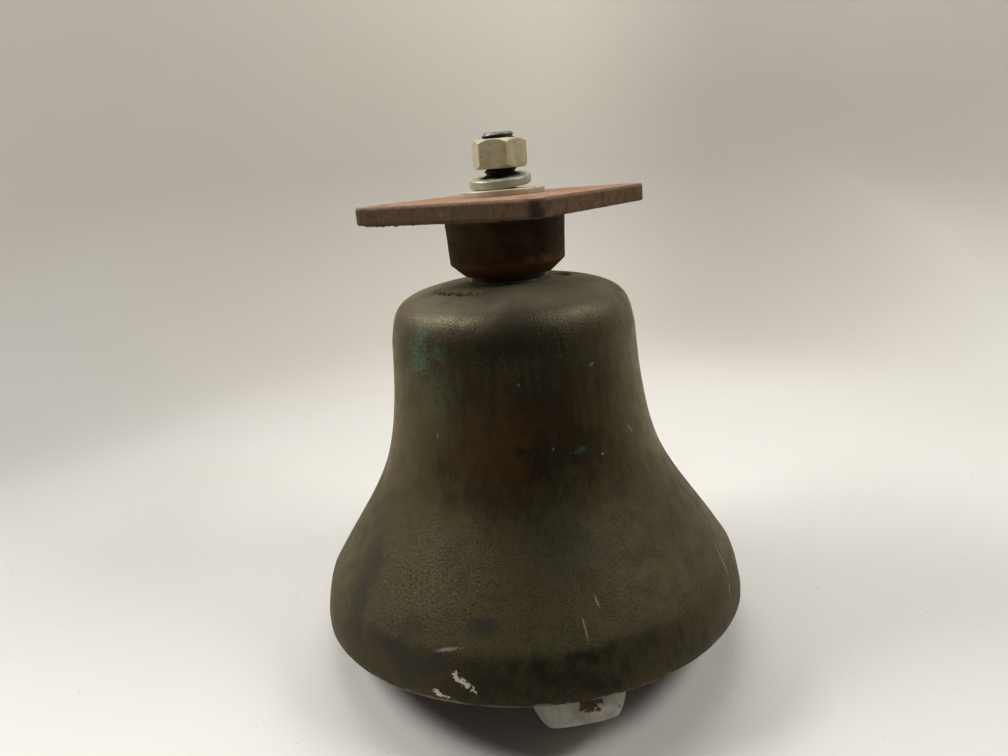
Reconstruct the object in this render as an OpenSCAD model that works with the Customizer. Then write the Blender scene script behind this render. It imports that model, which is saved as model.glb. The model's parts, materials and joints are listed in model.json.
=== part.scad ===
// Twelve-inch locomotive bell with its cast mounting bracket and an air-driven ringer inside.
// Heights named _h are measured up from the rim of the bell. The bell stands on the ground
// plane z = 0 on its clapper, so the rim lies rim_z above that plane.
// The ringer is drawn with its swing along +X and is then turned to swing_azimuth.

/* [Bell] */
// Diameter across the widest part of the mouth
mouth_d = 304.8; // [300:0.1:310]
// Diameter of the waist just under the shoulder
waist_d = 168.4; // [166:0.1:172]
// Height from the rim to the machined seat on the crown
crown_h = 230.9; // [229:0.1:233]
// Height of the near-upright band above the rim
lip_h = 30; // [27:0.5:33]
// Thickness of the crown where it is clamped
crown_t = 13.5; // [12:0.5:14]
// Thickness of the wall at the rim's edge
rim_t = 6.4; // [6:0.1:8]

/* [Bracket] */
// Width of the square mounting plate
plate_w = 146; // [142:0.5:152]
// Thickness of the mounting plate
plate_t = 12; // [11:0.5:14]
// Radius of the plate's corners
plate_corner_r = 10; // [8:0.5:12]
// Spacing of the four mounting holes
bolt_spacing = 114.3; // [108:0.1:116]
// Diameter of the mounting holes
bolt_hole_d = 13.5; // [12:0.5:14.5]
// Height of the hub under the plate
hub_h = 40.7; // [38:0.1:44]
// Diameter of the hub where it meets the plate
hub_top_d = 80.6; // [78:0.1:84]
// Diameter of the hub's lower face
hub_bottom_d = 60.8; // [58:0.1:62]

/* [Centre stud] */
// Thread diameter of the centre stud
stud_d = 22.22; // [22:0.01:22.3]
// Width of the nut across its flats
nut_af = 33.3; // [32.5:0.1:34]
// Height of the nut
nut_h = 19; // [18:0.5:20]
// Outer diameter of the flat washer
flat_washer_d = 57.2; // [52:0.1:58]
// Outer diameter of the spring lock washer
lock_washer_d = 41.8; // [40:0.1:43]

/* [Clapper] */
// Heading of the clapper's swing, in degrees from +X
swing_azimuth = -45; // [-180:1:180]
// Height of the clapper's pivot above the rim
pivot_h = 162; // [161:0.5:163]
// Distance from the pivot to the centre of the clapper's ball
arm_length = 211.1; // [210:0.1:213]
// Diameter of the clapper's ball
ball_d = 61; // [59:0.1:62]
// Diameter of the flat on the end of the ball
ball_flat_d = 43.5; // [38:0.5:46]

/* [Ringer] */
// Bore of the air cylinder
bore_d = 26; // [26:0.1:26.4]
// Diameter of the plunger rod
rod_d = 10; // [9:0.5:10]
// Diameter of the pivot pin
pin_d = 12.7; // [12:0.1:12.7]
// Distance from the pivot up to the clapper's nose that the plunger pushes
nose_lever = 21; // [20.5:0.1:21.2]
// Tapping diameter of the air inlet port
inlet_d = 14.6; // [14:0.1:15]
// Number of turns of the return spring
spring_turns = 7; // [6:1:8]

/* [Hidden] */
$fn = 96;

// Clearances
fit_gap = 0.05;
stop_gap = 0.3;
contact_gap = 0.35;

// Bell profile
mouth_r = mouth_d / 2;
waist_r = waist_d / 2;
rim_round = 1.2;
widest_h = 6;
waist_h = 196;
crease = [mouth_r - 5.8, lip_h];
bow = [mouth_r - 21.4, 22];
bow_top = [mouth_r - 24, 32];
wall_t = 8.8;
crown_flat_r = 32;
inner_flat_r = 48;
inner_crown_h = crown_h - crown_t;

// Bracket, stacked on the crown
hub_washer_t = 1;
hub_gasket_t = 3.4;
hub_washer_r = 26.6;
hub_gasket_r = 25.6;
hub_bottom_h = crown_h + hub_washer_t + hub_gasket_t;
hub_chamfer = 8.3;
hub_shoulder_r = hub_top_d / 2 - 1.4;
plate_bottom_h = hub_bottom_h + hub_h;
plate_top_h = plate_bottom_h + plate_t;
plate_edge_r = 2;
spot_face_r = 30.5;
spot_face_t = 0.5;
hub_fillet = 4;

// Stud and its washers and nut
stud_r = stud_d / 2;
stud_hole_r = 11.9;
stud_chamfer = 2;
flat_washer_t = 4.2;
flat_washer_bottom_h = plate_top_h - spot_face_t;
lock_washer_bottom_h = flat_washer_bottom_h + flat_washer_t;
lock_washer_w = 8.5;
lock_washer_t = 6;
lock_washer_rise = 7.4;
lock_washer_split = 39;
lock_washer_arc = 348;
lock_washer_steps = 40;
nut_bottom_h = lock_washer_bottom_h + lock_washer_rise + lock_washer_t;
nut_heading = -42;
stud_top_h = nut_bottom_h + nut_h + 4.4;
stud_bottom_h = pivot_h + 31;

// Clapper: the ball meets the bevel between the rim's inner edge and the sound bow
ball_r = ball_d / 2;
ball_flat_r = ball_flat_d / 2;
ball_flat_drop = sqrt(ball_r * ball_r - ball_flat_r * ball_flat_r);
rim_inner = [mouth_r - rim_t, 0];
bevel = bow - rim_inner;
bevel_out = [bevel[1], -bevel[0]] / norm(bevel);
bevel_lean = atan2(bevel_out[1], bevel_out[0]);
ball_reach = rim_inner[0] * bevel_out[0] - pivot_h * bevel_out[1] - ball_r - stop_gap;
swing_half = bevel_lean + asin(ball_reach / arm_length);
rim_z = (arm_length + ball_flat_drop) * cos(swing_half) + ball_flat_r * sin(swing_half) - pivot_h;
ball_edge_round = 1.6;
ball_neck_r = 14;
ball_neck_h = 36;
shank_end_r = 9;
eye_r = 12;
eye_w = 17.6;
nose_r = 8;
nose_w = 13;
tail_t = 9;
bushing_wall = 2.4;

// Air cylinder, lying along the swing above the pivot
cylinder_h = pivot_h + nose_lever - 1;
nose_travel = nose_lever * sin(swing_half);
plunger_tip_u = nose_r - nose_travel + contact_gap;
plunger_stroke = 2 * nose_travel;
barrel_r = 19;
barrel_front_u = 20.6;
front_wall_t = 6;
front_recess_t = 2;
chamber_front_u = barrel_front_u + front_wall_t;
piston_l = 13;
piston_web_t = 4;
piston_front_u = chamber_front_u + 0.3;
chamber_back_u = piston_front_u + plunger_stroke + piston_l + 0.3;
bore_r = bore_d / 2;
liner_wall = 1.5;
liner_r = bore_r + liner_wall;
rod_r = rod_d / 2;
rod_bushing_r = 7.5;
button_r = 6;
button_t = 2.2;
cap_r = 23.5;
cap_gasket_t = 0.8;
cap_t = 4;
cap_flange_t = 6;
cap_screw_circle_r = 19.8;
cap_screw_r = 2;
cap_screw_head_r = 3.5;
cap_screw_head_t = 2.6;
cap_screw_l = 9;
spring_seat_r = 10.4;
spring_seat_depth = 2;
skirt_r = 10.6;
seal_groove_r = 11.3;
seal_w = 2.6;
plunger_thread_r = 4;
plunger_nut_af = 13;
plunger_nut_t = 4;

// Ringer casting
flange_r = 40;
flange_t = 10;
crown_gasket_t = 2;
crown_gasket_r = 38;
flange_top_h = inner_crown_h - crown_gasket_t;
flange_bottom_h = flange_top_h - flange_t;
boss_r = 22;
boss_bottom_h = pivot_h + 30;
ear_gap = 19.6;
ear_t = 8.5;
ear_r = 14;
inlet_u = 44;
inlet_v = 27;
inlet_boss_r = 11.5;
inlet_bottom_h = cylinder_h - 11;
inlet_depth = 14;
passage_r = 2;
passage_v = 16.5;
passage_rise = 6;
passage_radius = norm([passage_v, passage_rise]);
passage_boss_r = 5;
exhaust_u = 48;
exhaust_boss_r = 8;
exhaust_boss_v = 28;
exhaust_screw_r = 4;
exhaust_screw_tip_v = 18;
exhaust_vent_r = 1.2;
exhaust_vent_v = 16.3;
exhaust_nut_af = 13;
exhaust_nut_t = 4;

// Pivot pin
pin_r = pin_d / 2;
pin_head_r = 9;
pin_head_t = 4;
pin_washer_t = 1.6;
ear_outer_v = ear_gap / 2 + ear_t;
pin_end_v = ear_outer_v + pin_washer_t + 7;
cotter_r = 1.3;
cotter_v = ear_outer_v + pin_washer_t + 0.4 + cotter_r;
cotter_loop_r = 2.8;

// Return spring, behind the piston
spring_wire_r = 0.7;
spring_r = 9;
spring_front_u = piston_front_u + piston_web_t + spring_wire_r;
spring_back_u = chamber_back_u + cap_gasket_t + spring_seat_depth - spring_wire_r;
spring_sides = 6;
spring_rings = 8;

// A point at t on the cubic curve with the four control points p
function curve_point(p, t) =
    pow(1 - t, 3) * p[0] + 3 * t * pow(1 - t, 2) * p[1] + 3 * t * t * (1 - t) * p[2] + pow(t, 3) * p[3];

// The curve with the four control points p, in n equal steps
function curve(p, n) = [for (i = [0:n]) curve_point(p, i / n)];

// An arc about c, from angle a to angle b, in n steps
function arc(c, r, a, b, n) = [for (i = [0:n]) c + r * [cos(a + (b - a) * i / n), sin(a + (b - a) * i / n)]];

// Faces of a closed tube of rings, each ring with the same number of sides
function tube_faces(rings, sides) = concat(
    [for (i = [0:rings - 2]) for (j = [0:sides - 1])
        each [[i * sides + j, i * sides + (j + 1) % sides, (i + 1) * sides + j],
              [i * sides + (j + 1) % sides, (i + 1) * sides + (j + 1) % sides, (i + 1) * sides + j]]],
    [for (j = [1:sides - 2]) [0, j + 1, j]],
    [for (j = [1:sides - 2]) let (e = (rings - 1) * sides) [e, e + j, e + j + 1]]
);

module above_rim() translate([0, 0, rim_z]) children();

module in_swing_plane() above_rim() rotate([0, 0, swing_azimuth]) children();

module on_clapper() in_swing_plane() translate([0, 0, pivot_h]) rotate([0, -swing_half, 0]) children();

// Along the air cylinder's axis: child +Z becomes the swing's +X, from u outwards
module on_cylinder(u = 0) in_swing_plane() translate([u, 0, cylinder_h]) rotate([0, 90, 0]) children();

// Along the pivot: child +Z becomes the pivot's axis, from v outwards
module on_pivot(v = 0) translate([0, v, 0]) rotate([-90, 0, 0]) children();

// Along the air passage in the cylinder's wall, from u outwards
module on_passage(u) on_cylinder(u) translate([-passage_rise, passage_v, 0]) children();

module ring(r_out, r_in, h) {
    difference() {
        cylinder(r = r_out, h = h);
        translate([0, 0, -1]) cylinder(r = r_in, h = h + 2);
    }
}

module hexagon(af, h) cylinder(r = af / 2 / cos(30), h = h, $fn = 6);

// Hexagon nut with its corners chamfered at both ends
module chamfered_nut(af, h, bore) {
    corner_r = af / 2 / cos(30);
    face_r = af / 2 - 0.4;
    slope_h = (corner_r - face_r) * tan(30);
    difference() {
        intersection() {
            hexagon(af, h);
            rotate_extrude() polygon([
                [0, 0], [face_r, 0], [corner_r, slope_h],
                [corner_r, h - slope_h], [face_r, h], [0, h]
            ]);
        }
        translate([0, 0, -1]) cylinder(r = bore, h = h + 2);
    }
}

// Cast bronze bell: a revolved wall, thick at the sound bow and at the crown
module bell() {
    outside = concat(
        arc([mouth_r - rim_round, rim_round], rim_round, -90, 0, 4),
        curve([[mouth_r, widest_h], [mouth_r - 1.2, 14], [mouth_r - 2.8, 23], crease], 6),
        curve([crease, [mouth_r - 52, lip_h + 65], [waist_r + 4.7, lip_h + 68], [waist_r, waist_h]], 24),
        curve([[waist_r, waist_h], [waist_r - 5, waist_h + 19.5], [waist_r - 1.7, crown_h - 7],
               [waist_r - 40, crown_h - 0.3]], 14),
        [[crown_flat_r, crown_h], [stud_hole_r, crown_h]]
    );
    inside = concat(
        [[stud_hole_r, inner_crown_h], [inner_flat_r, inner_crown_h]],
        curve([[inner_flat_r + 2, inner_crown_h], [68, inner_crown_h], [waist_r - wall_t - 2, inner_crown_h - 7],
               [waist_r - wall_t, waist_h]], 10),
        curve([[waist_r - wall_t, waist_h], [waist_r - wall_t + 4.6, 95], [mouth_r - 60, 87], bow_top], 20),
        [bow, [rim_inner[0], rim_inner[1]]]
    );
    color("#6f694c") above_rim() rotate_extrude() polygon(concat(outside, inside));
}

// Edge of the plate in section, from the corner's centre out to its rounded edge
module plate_edge_section() {
    polygon(concat(
        [[0, 0]],
        arc([plate_corner_r - plate_edge_r, plate_edge_r], plate_edge_r, -90, 0, 4),
        arc([plate_corner_r - plate_edge_r, plate_t - plate_edge_r], plate_edge_r, 0, 90, 4),
        [[0, plate_t]]
    ));
}

module plate_blank() {
    core_w = plate_w - 2 * plate_corner_r;
    translate([-core_w / 2, -core_w / 2, 0]) cube([core_w, core_w, plate_t]);
    for (a = [0:90:270]) rotate([0, 0, a]) {
        translate([core_w / 2, core_w / 2, 0]) rotate([90, 0, 0])
            linear_extrude(height = core_w) plate_edge_section();
        translate([core_w / 2, core_w / 2, 0]) rotate_extrude(angle = 90) plate_edge_section();
    }
}

// One iron casting: the square plate, its chamfered hub and the bore for the stud
module mounting_bracket() {
    color("#6b4a36") above_rim() difference() {
        union() {
            translate([0, 0, plate_bottom_h]) plate_blank();
            rotate_extrude() polygon(concat(
                [[0, hub_bottom_h], [hub_bottom_d / 2, hub_bottom_h], [hub_shoulder_r, hub_bottom_h + hub_chamfer]],
                arc([hub_top_d / 2 + hub_fillet, plate_bottom_h - hub_fillet], hub_fillet, 180, 90, 5),
                [[hub_top_d / 2 + hub_fillet, plate_bottom_h + 1], [0, plate_bottom_h + 1]]
            ));
        }
        translate([0, 0, hub_bottom_h - 1]) cylinder(r = stud_hole_r, h = plate_top_h - hub_bottom_h + 2);
        translate([0, 0, plate_top_h - spot_face_t]) cylinder(r = spot_face_r, h = spot_face_t + 1);
        for (x = [-1, 1]) for (y = [-1, 1])
            translate([x * bolt_spacing / 2, y * bolt_spacing / 2, plate_bottom_h - 1])
                cylinder(d = bolt_hole_d, h = plate_t + 2);
    }
}

module hub_gasket() {
    color("#3a2320") above_rim() translate([0, 0, crown_h + hub_washer_t])
        ring(hub_gasket_r, stud_hole_r, hub_gasket_t);
}

module hub_washer() {
    color("#b9b8b0") above_rim() translate([0, 0, crown_h]) ring(hub_washer_r, stud_hole_r, hub_washer_t);
}

module crown_gasket() {
    color("#2b2a28") above_rim() translate([0, 0, flange_top_h])
        ring(crown_gasket_r, stud_hole_r, crown_gasket_t);
}

module centre_stud() {
    color("#26241f") above_rim() rotate_extrude() polygon([
        [0, stud_bottom_h], [stud_r - stud_chamfer, stud_bottom_h], [stud_r, stud_bottom_h + stud_chamfer],
        [stud_r, stud_top_h - stud_chamfer], [stud_r - stud_chamfer, stud_top_h], [0, stud_top_h]
    ]);
}

module flat_washer() {
    color("#a9a398") above_rim() translate([0, 0, flat_washer_bottom_h])
        ring(flat_washer_d / 2, stud_hole_r, flat_washer_t);
}

// Split spring washer: one turn of a square-shouldered coil that climbs to its upper end
module lock_washer() {
    out_r = lock_washer_d / 2;
    in_r = out_r - lock_washer_w;
    section = [[in_r, 0.3], [out_r - 0.8, 0], [out_r, 0.9], [out_r, lock_washer_t - 0.9],
               [out_r - 0.8, lock_washer_t], [in_r, lock_washer_t - 0.3]];
    points = [for (i = [0:lock_washer_steps])
        let (a = lock_washer_split + lock_washer_arc * i / lock_washer_steps)
        for (s = section) [s[0] * cos(a), s[0] * sin(a), s[1] + lock_washer_rise * i / lock_washer_steps]];
    split_gap = norm(points[0] - points[lock_washer_steps * len(section)]) - lock_washer_t;
    echo(str("Lock washer: gap at the split ", split_gap, " mm"));
    color("#8f9088") above_rim() translate([0, 0, lock_washer_bottom_h])
        polyhedron(points, tube_faces(lock_washer_steps + 1, len(section)));
}

module hex_nut() {
    color("#9a9372") above_rim() translate([0, 0, nut_bottom_h]) rotate([0, 0, nut_heading])
        chamfered_nut(nut_af, nut_h, stud_r);
}

// Everything solid in the ringer casting, before it is bored
module ringer_casting() {
    in_swing_plane() {
        translate([0, 0, flange_bottom_h]) cylinder(r = flange_r, h = flange_t);
        translate([0, 0, boss_bottom_h]) cylinder(r = boss_r, h = flange_bottom_h - boss_bottom_h + 1);
        for (side = [-1, 1]) translate([0, side * (ear_gap + ear_t) / 2, 0]) {
            translate([-ear_r, -ear_t / 2, pivot_h]) cube([2 * ear_r, ear_t, flange_bottom_h - pivot_h + 1]);
            translate([0, 0, pivot_h]) on_pivot(-ear_t / 2) cylinder(r = ear_r, h = ear_t);
        }
        translate([barrel_front_u, -9, cylinder_h])
            cube([chamber_back_u - barrel_front_u - 2, 18, flange_bottom_h - cylinder_h + 1]);
        translate([inlet_u, inlet_v, inlet_bottom_h]) cylinder(r = inlet_boss_r, h = 24);
        translate([inlet_u - 8, 8, inlet_bottom_h + 4]) cube([16, inlet_v - 8, 18]);
        translate([exhaust_u, -exhaust_boss_v, cylinder_h]) on_pivot() cylinder(r = exhaust_boss_r, h = exhaust_boss_v);
    }
    on_cylinder(barrel_front_u) cylinder(r = barrel_r, h = chamber_back_u - barrel_front_u);
    on_cylinder(chamber_back_u - cap_flange_t) cylinder(r = cap_r, h = cap_flange_t);
    on_passage(inlet_u - passage_boss_r) cylinder(r = passage_boss_r, h = chamber_back_u - inlet_u);
}

// Cast body: flange and boss on the stud, air cylinder, two ears for the pin, inlet and exhaust bosses
module ringer_body() {
    color("#4a4a46") difference() {
        ringer_casting();
        above_rim() translate([0, 0, boss_bottom_h - 1]) cylinder(r = stud_r, h = flange_top_h - boss_bottom_h + 2);
        on_cylinder(chamber_front_u) cylinder(r = liner_r, h = chamber_back_u - chamber_front_u + 1);
        on_cylinder(barrel_front_u - 1) cylinder(r = rod_bushing_r, h = front_wall_t + 2);
        in_swing_plane() {
            translate([0, 0, pivot_h]) on_pivot(-40) cylinder(r = pin_r + fit_gap, h = 80);
            translate([inlet_u, inlet_v, inlet_bottom_h - 1]) cylinder(d = inlet_d, h = inlet_depth + 1);
            translate([inlet_u, inlet_v, inlet_bottom_h])
                cylinder(r = passage_r, h = cylinder_h + passage_rise - inlet_bottom_h);
            translate([inlet_u, passage_v, cylinder_h + passage_rise]) on_pivot()
                cylinder(r = passage_r, h = inlet_v - passage_v);
            translate([exhaust_u, -exhaust_boss_v - 1, cylinder_h]) on_pivot()
                cylinder(r = exhaust_screw_r, h = exhaust_boss_v + 1 - bore_r);
            translate([exhaust_u, -exhaust_vent_v, cylinder_h - barrel_r]) cylinder(r = exhaust_vent_r, h = barrel_r);
        }
        on_passage(inlet_u) cylinder(r = passage_r, h = chamber_back_u - inlet_u + 1);
        for (a = [45:90:315]) on_cylinder(chamber_back_u - cap_screw_l + cap_t + cap_gasket_t)
            rotate([0, 0, a]) translate([cap_screw_circle_r, 0, 0]) cylinder(r = cap_screw_r, h = cap_screw_l);
    }
}

module cylinder_liner() {
    color("#b08a4a") difference() {
        on_cylinder(chamber_front_u) ring(liner_r, bore_r + fit_gap, chamber_back_u - chamber_front_u);
        in_swing_plane() translate([exhaust_u, -exhaust_boss_v, cylinder_h]) on_pivot()
            cylinder(r = exhaust_screw_r / 2, h = exhaust_boss_v);
    }
}

module rod_bushing() {
    color("#b98f4e") on_cylinder(barrel_front_u + front_recess_t)
        ring(rod_bushing_r, rod_r + fit_gap, front_wall_t - front_recess_t);
}

module cap_screw_holes(h) {
    for (a = [45:90:315]) rotate([0, 0, a]) translate([cap_screw_circle_r, 0, -1])
        cylinder(r = cap_screw_r + 0.2, h = h + 2);
}

module cap_gasket() {
    color("#5a3b2c") on_cylinder(chamber_back_u) difference() {
        ring(cap_r, bore_r, cap_gasket_t);
        cap_screw_holes(cap_gasket_t);
        translate([-passage_rise, passage_v, -1]) cylinder(r = passage_r, h = cap_gasket_t + 2);
    }
}

// End cover of the air cylinder, with a shallow seat for the spring and a groove that lets the air in
module cylinder_cap() {
    color("#4f4e49") on_cylinder(chamber_back_u + cap_gasket_t) difference() {
        cylinder(r = cap_r, h = cap_t);
        translate([0, 0, -1]) cylinder(r = spring_seat_r, h = spring_seat_depth + 1);
        rotate([0, 0, atan2(passage_v, -passage_rise)]) {
            translate([0, -passage_r, -1]) cube([passage_radius, 2 * passage_r, spring_seat_depth + 1]);
            translate([passage_radius, 0, -1]) cylinder(r = passage_r, h = spring_seat_depth + 1);
        }
        cap_screw_holes(cap_t);
    }
}

// Four screws on one circle, each a separate solid
module cap_screws() {
    color("#77766f") for (a = [45:90:315]) on_cylinder(chamber_back_u + cap_gasket_t + cap_t)
        rotate([0, 0, a]) translate([cap_screw_circle_r, 0, 0]) difference() {
            union() {
                cylinder(r = cap_screw_head_r, h = cap_screw_head_t);
                translate([0, 0, -cap_screw_l + 0.5]) cylinder(r = cap_screw_r, h = cap_screw_l);
            }
            translate([-5, -0.5, cap_screw_head_t - 1]) cube([10, 1, 2]);
        }
}

module exhaust_screw() {
    outside_l = 9;
    color("#6e6d66") in_swing_plane()
        translate([exhaust_u, -exhaust_boss_v - outside_l, cylinder_h]) on_pivot() difference() {
        cylinder(r = exhaust_screw_r, h = exhaust_boss_v + outside_l - exhaust_screw_tip_v);
        translate([-6, -0.6, -1]) cube([12, 1.2, 2.4]);
    }
}

module exhaust_lock_nut() {
    color("#8a897f") in_swing_plane() translate([exhaust_u, -exhaust_boss_v - exhaust_nut_t, cylinder_h]) on_pivot()
        chamfered_nut(exhaust_nut_af, exhaust_nut_t, exhaust_screw_r);
}

// Cup-shaped piston, open to the spring side, with a groove for its seal
module piston() {
    groove_u = (piston_l - seal_w) / 2 + 2;
    color("#c0b070") on_cylinder(piston_front_u) rotate_extrude() polygon([
        [plunger_thread_r, 0], [bore_r - 0.6, 0], [bore_r, 0.6],
        [bore_r, groove_u], [seal_groove_r, groove_u], [seal_groove_r, groove_u + seal_w], [bore_r, groove_u + seal_w],
        [bore_r, piston_l], [skirt_r + 0.4, piston_l], [skirt_r, piston_l - 0.6],
        [skirt_r, piston_web_t], [plunger_thread_r, piston_web_t]
    ]);
}

module piston_seal() {
    groove_u = (piston_l - seal_w) / 2 + 2;
    color("#1f1e1c") on_cylinder(piston_front_u + groove_u) ring(bore_r + fit_gap / 2, seal_groove_r, seal_w);
}

// Rod with a flat button that meets the clapper's nose and a threaded end held in the piston
module plunger_rod() {
    rod_end_u = piston_front_u + piston_web_t + plunger_nut_t + 1;
    color("#9a9a94") on_cylinder(plunger_tip_u) rotate_extrude() polygon([
        [0, 0], [button_r - 0.8, 0], [button_r, 0.8], [button_r, button_t],
        [rod_r, button_t], [rod_r, piston_front_u - plunger_tip_u],
        [plunger_thread_r, piston_front_u - plunger_tip_u], [plunger_thread_r, rod_end_u - plunger_tip_u],
        [0, rod_end_u - plunger_tip_u]
    ]);
}

module plunger_nut() {
    color("#7f7e77") on_cylinder(piston_front_u + piston_web_t)
        chamfered_nut(plunger_nut_af, plunger_nut_t, plunger_thread_r);
}

// One unbroken coil of round wire between the piston's web and the cap
module return_spring() {
    steps = spring_turns * spring_rings;
    length = spring_back_u - spring_front_u;
    rise = length / steps;
    lean = atan2(length / spring_turns, 2 * PI * spring_r);
    centres = [for (i = [0:steps]) [spring_r * cos(360 * i / spring_rings), spring_r * sin(360 * i / spring_rings), i * rise]];
    points = [for (i = [0:steps]) let (a = 360 * i / spring_rings) for (j = [0:spring_sides - 1])
        let (b = 360 * j / spring_sides)
        centres[i] + spring_wire_r * cos(b) * [cos(a), sin(a), 0]
                   + spring_wire_r * sin(b) * [sin(a) * sin(lean), -cos(a) * sin(lean), cos(lean)]];
    half_turn = spring_rings / 2;
    least_gap = min([for (i = [0:steps - half_turn - 1]) for (j = [i + half_turn + 1:steps])
        norm(centres[i] - centres[j])]) - 2 * spring_wire_r;
    echo(str("Return spring: least gap to itself ", least_gap, " mm"));
    color("#55534d") on_cylinder(spring_front_u) polyhedron(points, tube_faces(steps + 1, spring_sides));
}

// Forged lever, drawn hanging straight down from the pivot
module clapper_arm() {
    shank_top = 8;
    shank_end = arm_length - ball_neck_h;
    color("#5c5046") on_clapper() difference() {
        union() {
            on_pivot(-eye_w / 2) cylinder(r = eye_r, h = eye_w);
            translate([-tail_t / 2, -nose_w / 2, 0]) cube([tail_t, nose_w, nose_lever]);
            translate([0, 0, nose_lever]) on_pivot(-nose_w / 2) cylinder(r = nose_r, h = nose_w);
            translate([0, 0, -shank_end]) cylinder(r1 = 10, r2 = 8, h = shank_end - shank_top);
            translate([0, 0, -arm_length - 6]) cylinder(r = shank_end_r, h = ball_neck_h + 8);
        }
        on_pivot(-eye_w) cylinder(r = pin_r + bushing_wall, h = 2 * eye_w);
    }
}

// Ball with a flat end and a short neck, bored for the end of the arm
module clapper_ball() {
    top_a = acos(ball_neck_r / ball_r);
    flat_a = -acos((ball_flat_r + ball_edge_round / 2) / ball_r);
    color("#d9d6c8") on_clapper() translate([0, 0, -arm_length]) rotate_extrude() polygon(concat(
        [[0, -ball_flat_drop], [ball_flat_r - ball_edge_round, -ball_flat_drop],
         [ball_flat_r - ball_edge_round / 3, -ball_flat_drop + ball_edge_round / 6]],
        arc([0, 0], ball_r, flat_a, top_a, 26),
        [[ball_neck_r, ball_neck_h - 2], [ball_neck_r - 1.5, ball_neck_h],
         [shank_end_r, ball_neck_h], [shank_end_r, -6], [0, -6]]
    ));
}

module pivot_bushing() {
    color("#b98f4e") on_clapper() on_pivot(-eye_w / 2) ring(pin_r + bushing_wall, pin_r + fit_gap, eye_w);
}

// Headed pin through both ears, cross-drilled for its cotter
module pivot_pin() {
    color("#84827a") in_swing_plane() translate([0, 0, pivot_h]) difference() {
        union() {
            on_pivot(-ear_outer_v - pin_head_t) cylinder(r = pin_head_r, h = pin_head_t);
            on_pivot(-ear_outer_v - 1) cylinder(r = pin_r, h = pin_end_v + ear_outer_v + 1);
        }
        translate([0, cotter_v, -10]) cylinder(r = cotter_r + 0.1, h = 20);
    }
}

module pin_washer() {
    color("#8f8d84") in_swing_plane() translate([0, 0, pivot_h]) on_pivot(ear_outer_v)
        ring(10, pin_r + 0.2, pin_washer_t);
}

// Split pin, shown as a straight shank under its round loop
module cotter_pin() {
    color("#a09e95") in_swing_plane() translate([0, cotter_v, pivot_h]) {
        translate([0, 0, -11]) cylinder(r = cotter_r, h = 19);
        translate([0, 0, 8 + cotter_loop_r]) on_pivot() rotate_extrude()
            translate([cotter_loop_r, 0]) circle(r = cotter_r, $fn = 24);
    }
}

bell();
mounting_bracket();
hub_gasket();
hub_washer();
crown_gasket();
centre_stud();
flat_washer();
lock_washer();
hex_nut();
ringer_body();
cylinder_liner();
rod_bushing();
cylinder_cap();
cap_gasket();
cap_screws();
exhaust_screw();
exhaust_lock_nut();
piston();
piston_seal();
plunger_rod();
plunger_nut();
return_spring();
clapper_arm();
clapper_ball();
pivot_bushing();
pivot_pin();
pin_washer();
cotter_pin();
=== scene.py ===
import json
import math

import bpy
from mathutils import Matrix, Vector


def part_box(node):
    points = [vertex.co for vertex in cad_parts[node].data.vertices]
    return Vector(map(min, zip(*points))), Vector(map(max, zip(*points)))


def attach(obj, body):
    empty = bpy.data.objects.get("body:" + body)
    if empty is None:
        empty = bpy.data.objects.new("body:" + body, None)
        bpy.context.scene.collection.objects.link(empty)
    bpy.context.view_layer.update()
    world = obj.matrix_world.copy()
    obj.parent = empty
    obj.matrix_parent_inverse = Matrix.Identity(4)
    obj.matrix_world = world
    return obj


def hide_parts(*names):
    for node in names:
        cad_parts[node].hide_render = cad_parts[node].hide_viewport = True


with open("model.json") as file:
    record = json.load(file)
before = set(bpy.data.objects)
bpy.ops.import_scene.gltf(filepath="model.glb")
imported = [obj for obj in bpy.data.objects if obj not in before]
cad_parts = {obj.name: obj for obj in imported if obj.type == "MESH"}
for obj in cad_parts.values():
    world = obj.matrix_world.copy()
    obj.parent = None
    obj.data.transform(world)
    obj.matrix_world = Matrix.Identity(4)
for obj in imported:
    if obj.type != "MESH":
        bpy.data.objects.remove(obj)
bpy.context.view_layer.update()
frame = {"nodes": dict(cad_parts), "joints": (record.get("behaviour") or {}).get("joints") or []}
bpy.ops.object.select_all(action="DESELECT")

# Camera
# It stands where the photograph was taken, a little above the bracket's plate. Its place is measured
# from the bell's own axis and rim, so the leaning bell comes out as it leans in the photograph.
photo_width_px = 1008
focal_length_px = 813
camera_reach = 0.5628
camera_rise = 0.3048
camera_heading = math.radians(33.96)
camera_pitch = math.radians(14.40)
camera_yaw = math.radians(-0.94)
camera_roll = math.radians(-4.75)

rim_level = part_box("bell")[0].z
round_the_bell = Matrix.Rotation(camera_heading, 3, "Z")
ahead = round_the_bell @ Vector((
    math.sin(camera_yaw) * math.cos(camera_pitch),
    math.cos(camera_yaw) * math.cos(camera_pitch),
    -math.sin(camera_pitch),
))
level_right = ahead.cross(Vector((0, 0, 1))).normalized()
level_up = level_right.cross(ahead)
picture_right = math.cos(camera_roll) * level_right + math.sin(camera_roll) * level_up
picture_up = math.cos(camera_roll) * level_up - math.sin(camera_roll) * level_right

camera_data = bpy.data.cameras.new("camera")
camera = bpy.data.objects.new("camera", camera_data)
bpy.context.scene.collection.objects.link(camera)
camera_data.lens = camera_data.sensor_width * focal_length_px / photo_width_px
camera_data.clip_start = 0.02
camera_place = round_the_bell @ Vector((0, -camera_reach, camera_rise)) + Vector((0, 0, rim_level))
camera_turn = Matrix((picture_right, picture_up, -ahead)).transposed().to_4x4()
camera.matrix_world = Matrix.Translation(camera_place) @ camera_turn
bpy.context.scene.camera = camera
bpy.context.scene.view_settings.view_transform = "Standard"

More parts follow.
